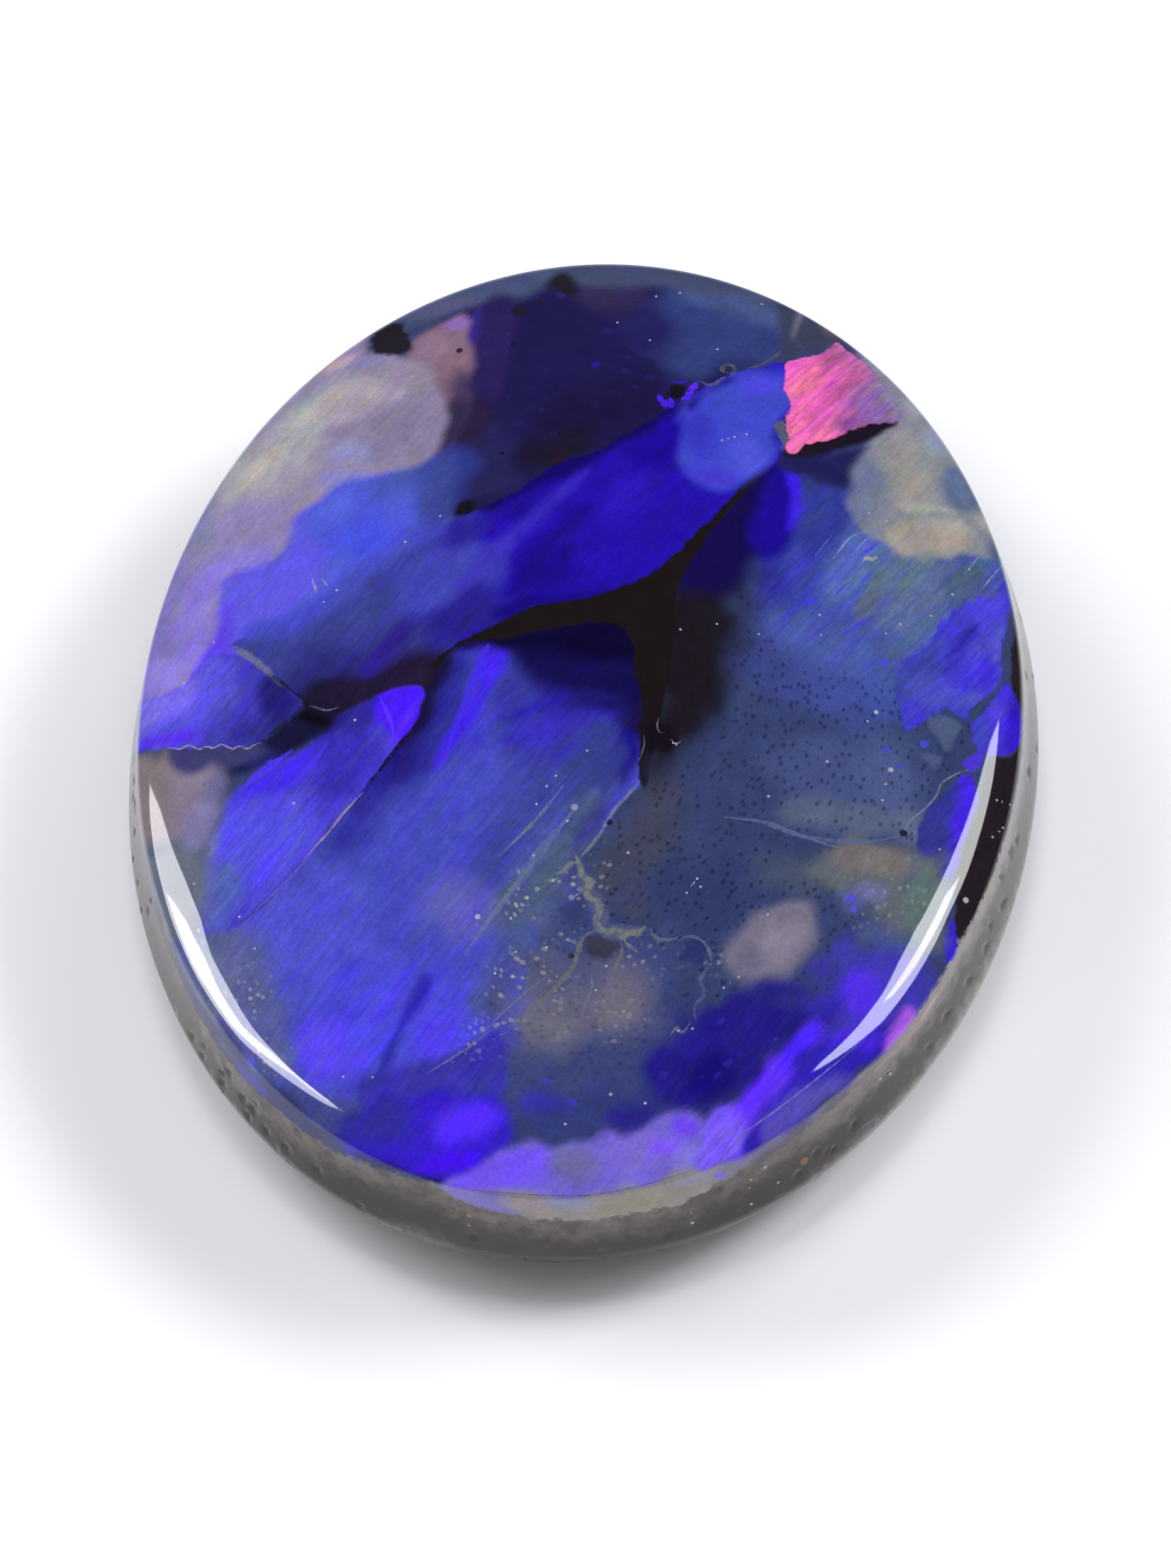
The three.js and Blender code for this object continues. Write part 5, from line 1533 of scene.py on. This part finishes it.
# The studio lights: soft boxes round the stone, given by how they are seen from it, in degrees. A turn is
# measured to the right from the camera's own direction, and the two edges are rows of turns and elevations.
class SoftBox(NamedTuple):
    """A white panel that shows only in gloss, as in the stone's polish, and lights nothing else."""

    name: str
    lower: list
    upper: list
    radiance: float
    distance: float


SOFT_BOXES = [
    SoftBox("left_box",
            [(-123, 26), (-120, 26), (-116, 27), (-112, 29), (-108, 29), (-100, 32), (-94, 38), (-90, 45),
             (-85, 51), (-80, 56), (-79, 59)],
            [(-123, 26), (-122, 33), (-120, 37), (-118, 42), (-115, 45), (-109, 45), (-105, 47), (-98, 49),
             (-93, 52), (-87, 55), (-81, 58)], 13, 300),
    SoftBox("left_core",
            [(-112, 31), (-108, 33), (-103, 35), (-100, 38), (-95, 41), (-92, 46), (-88, 53), (-82, 57)],
            [(-112, 33), (-111, 38), (-107, 42), (-102, 43), (-96, 46), (-93, 51), (-87, 55), (-81, 58)],
            26, 290),
    SoftBox("right_box",
            [(75, 62), (78, 57), (82, 52), (89, 49), (95, 47), (99, 46), (104, 43), (108, 41), (113, 38),
             (119, 35)],
            [(78, 63), (85, 60), (93, 58), (101, 58), (106, 57), (110, 54), (113, 51), (115, 48), (118, 43),
             (120, 37)], 13, 300),
    SoftBox("right_core",
            [(89, 54), (93, 51), (96, 50), (100, 48), (105, 46)],
            [(90, 56), (96, 54), (101, 52), (105, 50), (106, 48)], 26, 290),
]
PANEL_STEPS = 48
FLOOR_HALF = 600  # from the stone's middle to each side of the floor


def soft_box(box):
    """A glowing panel on a sphere round the stone, between its two edges at every turn."""
    turn = np.linspace(box.lower[0][0], box.lower[-1][0], PANEL_STEPS)
    lower, upper = (np.interp(turn, *zip(*edge)) for edge in (box.lower, box.upper))
    rise = np.radians(lower[:, None] + (upper - lower)[:, None] * np.linspace(0, 1, PANEL_STEPS))
    points = towards(np.radians(turn)[:, None] + CAMERA_TURN, rise)
    index = np.arange(PANEL_STEPS**2).reshape(PANEL_STEPS, PANEL_STEPS)
    quads = np.stack([index[:-1, :-1], index[1:, :-1], index[1:, 1:], index[:-1, 1:]], -1).reshape(-1, 4)
    mesh = bpy.data.meshes.new(box.name)
    mesh.from_pydata(points.reshape(-1, 3) * box.distance * MM, [], quads.tolist())
    material, tree = new_material(box.name)
    glow = add(tree, "Emission", {"Strength": box.radiance})[0]
    add(tree, "OutputMaterial", {"Surface": glow})
    mesh.materials.append(material)
    panel = bpy.data.objects.new(box.name, mesh)
    panel.visible_camera = False
    panel.visible_diffuse = False
    panel.visible_shadow = False
    bpy.context.scene.collection.objects.link(panel)


def pale_floor():
    """A white board with a satin face."""
    half = FLOOR_HALF * MM
    mesh = bpy.data.meshes.new("floor")
    corners = [(-half, -half, 0), (half, -half, 0), (half, half, 0), (-half, half, 0)]
    mesh.from_pydata(corners, [], [(0, 1, 2, 3)])
    material, tree = new_material("white_board")
    looks = {"Base Color": rgba("f1f2f8"), "Roughness": 0.45, "IOR": 1.45}
    shader = add(tree, "BsdfPrincipled", looks)[0]
    add(tree, "OutputMaterial", {"Surface": shader})
    mesh.materials.append(material)
    floor = bpy.data.objects.new("floor", mesh)
    bpy.context.scene.collection.objects.link(floor)


class Lamp(NamedTuple):
    """A round lamp that lights the stage but isn't mirrored in the stone's polish."""

    name: str
    turn: float  # degrees to the right from the camera's own direction
    rise: float
    share: float  # how bright it alone makes a white sheet on the floor
    spread: float  # its half width, as seen from the stone, in degrees


LAMPS = [
    Lamp("left_low_lamp", -110, 27, 0.065, 8),
    Lamp("left_lamp", -125, 38, 0.15, 10),
    Lamp("left_back_lamp", -140, 40, 0.129, 10),
    Lamp("front_left_lamp", -50, 8, 0.036, 6),
    Lamp("front_lamp", 0, 8, 0.046, 6),
    Lamp("top_lamp", 0, 88, 0.180, 25),
    Lamp("right_front_lamp", 95, 38, 0.094, 10),
    Lamp("right_lamp", 110, 38, 0.300, 10),
    Lamp("right_back_lamp", 140, 40, 0.074, 10),
    Lamp("back_lamp", 180, 76, 0.193, 10),
]
LAMP_DISTANCE = 500


def soft_lamp(lamp):
    """A disc that faces the stone. Its power follows from the brightness that it gives the floor."""
    direction = Vector(towards(math.radians(lamp.turn) + CAMERA_TURN, math.radians(lamp.rise)))
    data = bpy.data.lights.new(lamp.name, "AREA")
    data.shape = "DISK"
    data.size = 2 * LAMP_DISTANCE * MM * math.tan(math.radians(lamp.spread))
    data.energy = lamp.share * (math.pi * LAMP_DISTANCE * MM) ** 2 / direction.z
    light = bpy.data.objects.new(lamp.name, data)
    light.location = direction * LAMP_DISTANCE * MM
    light.rotation_euler = direction.to_track_quat("Z", "Y").to_euler()
    light.visible_glossy = False
    light.visible_camera = False
    bpy.context.scene.collection.objects.link(light)


def dim_room():
    """The faint even light of the room."""
    world = bpy.data.worlds.new("room")
    world.use_nodes = True
    world.node_tree.nodes.clear()
    glow = add(world.node_tree, "Background", {"Color": (1, 1, 1, 1), "Strength": 0.03})[0]
    add(world.node_tree, "OutputWorld", {"Surface": glow})
    bpy.context.scene.world = world


place_camera()
for box in SOFT_BOXES:
    soft_box(box)
for lamp in LAMPS:
    soft_lamp(lamp)
pale_floor()
dim_room()
bpy.context.scene.view_settings.view_transform = "Standard"

bpy.context.view_layer.update()
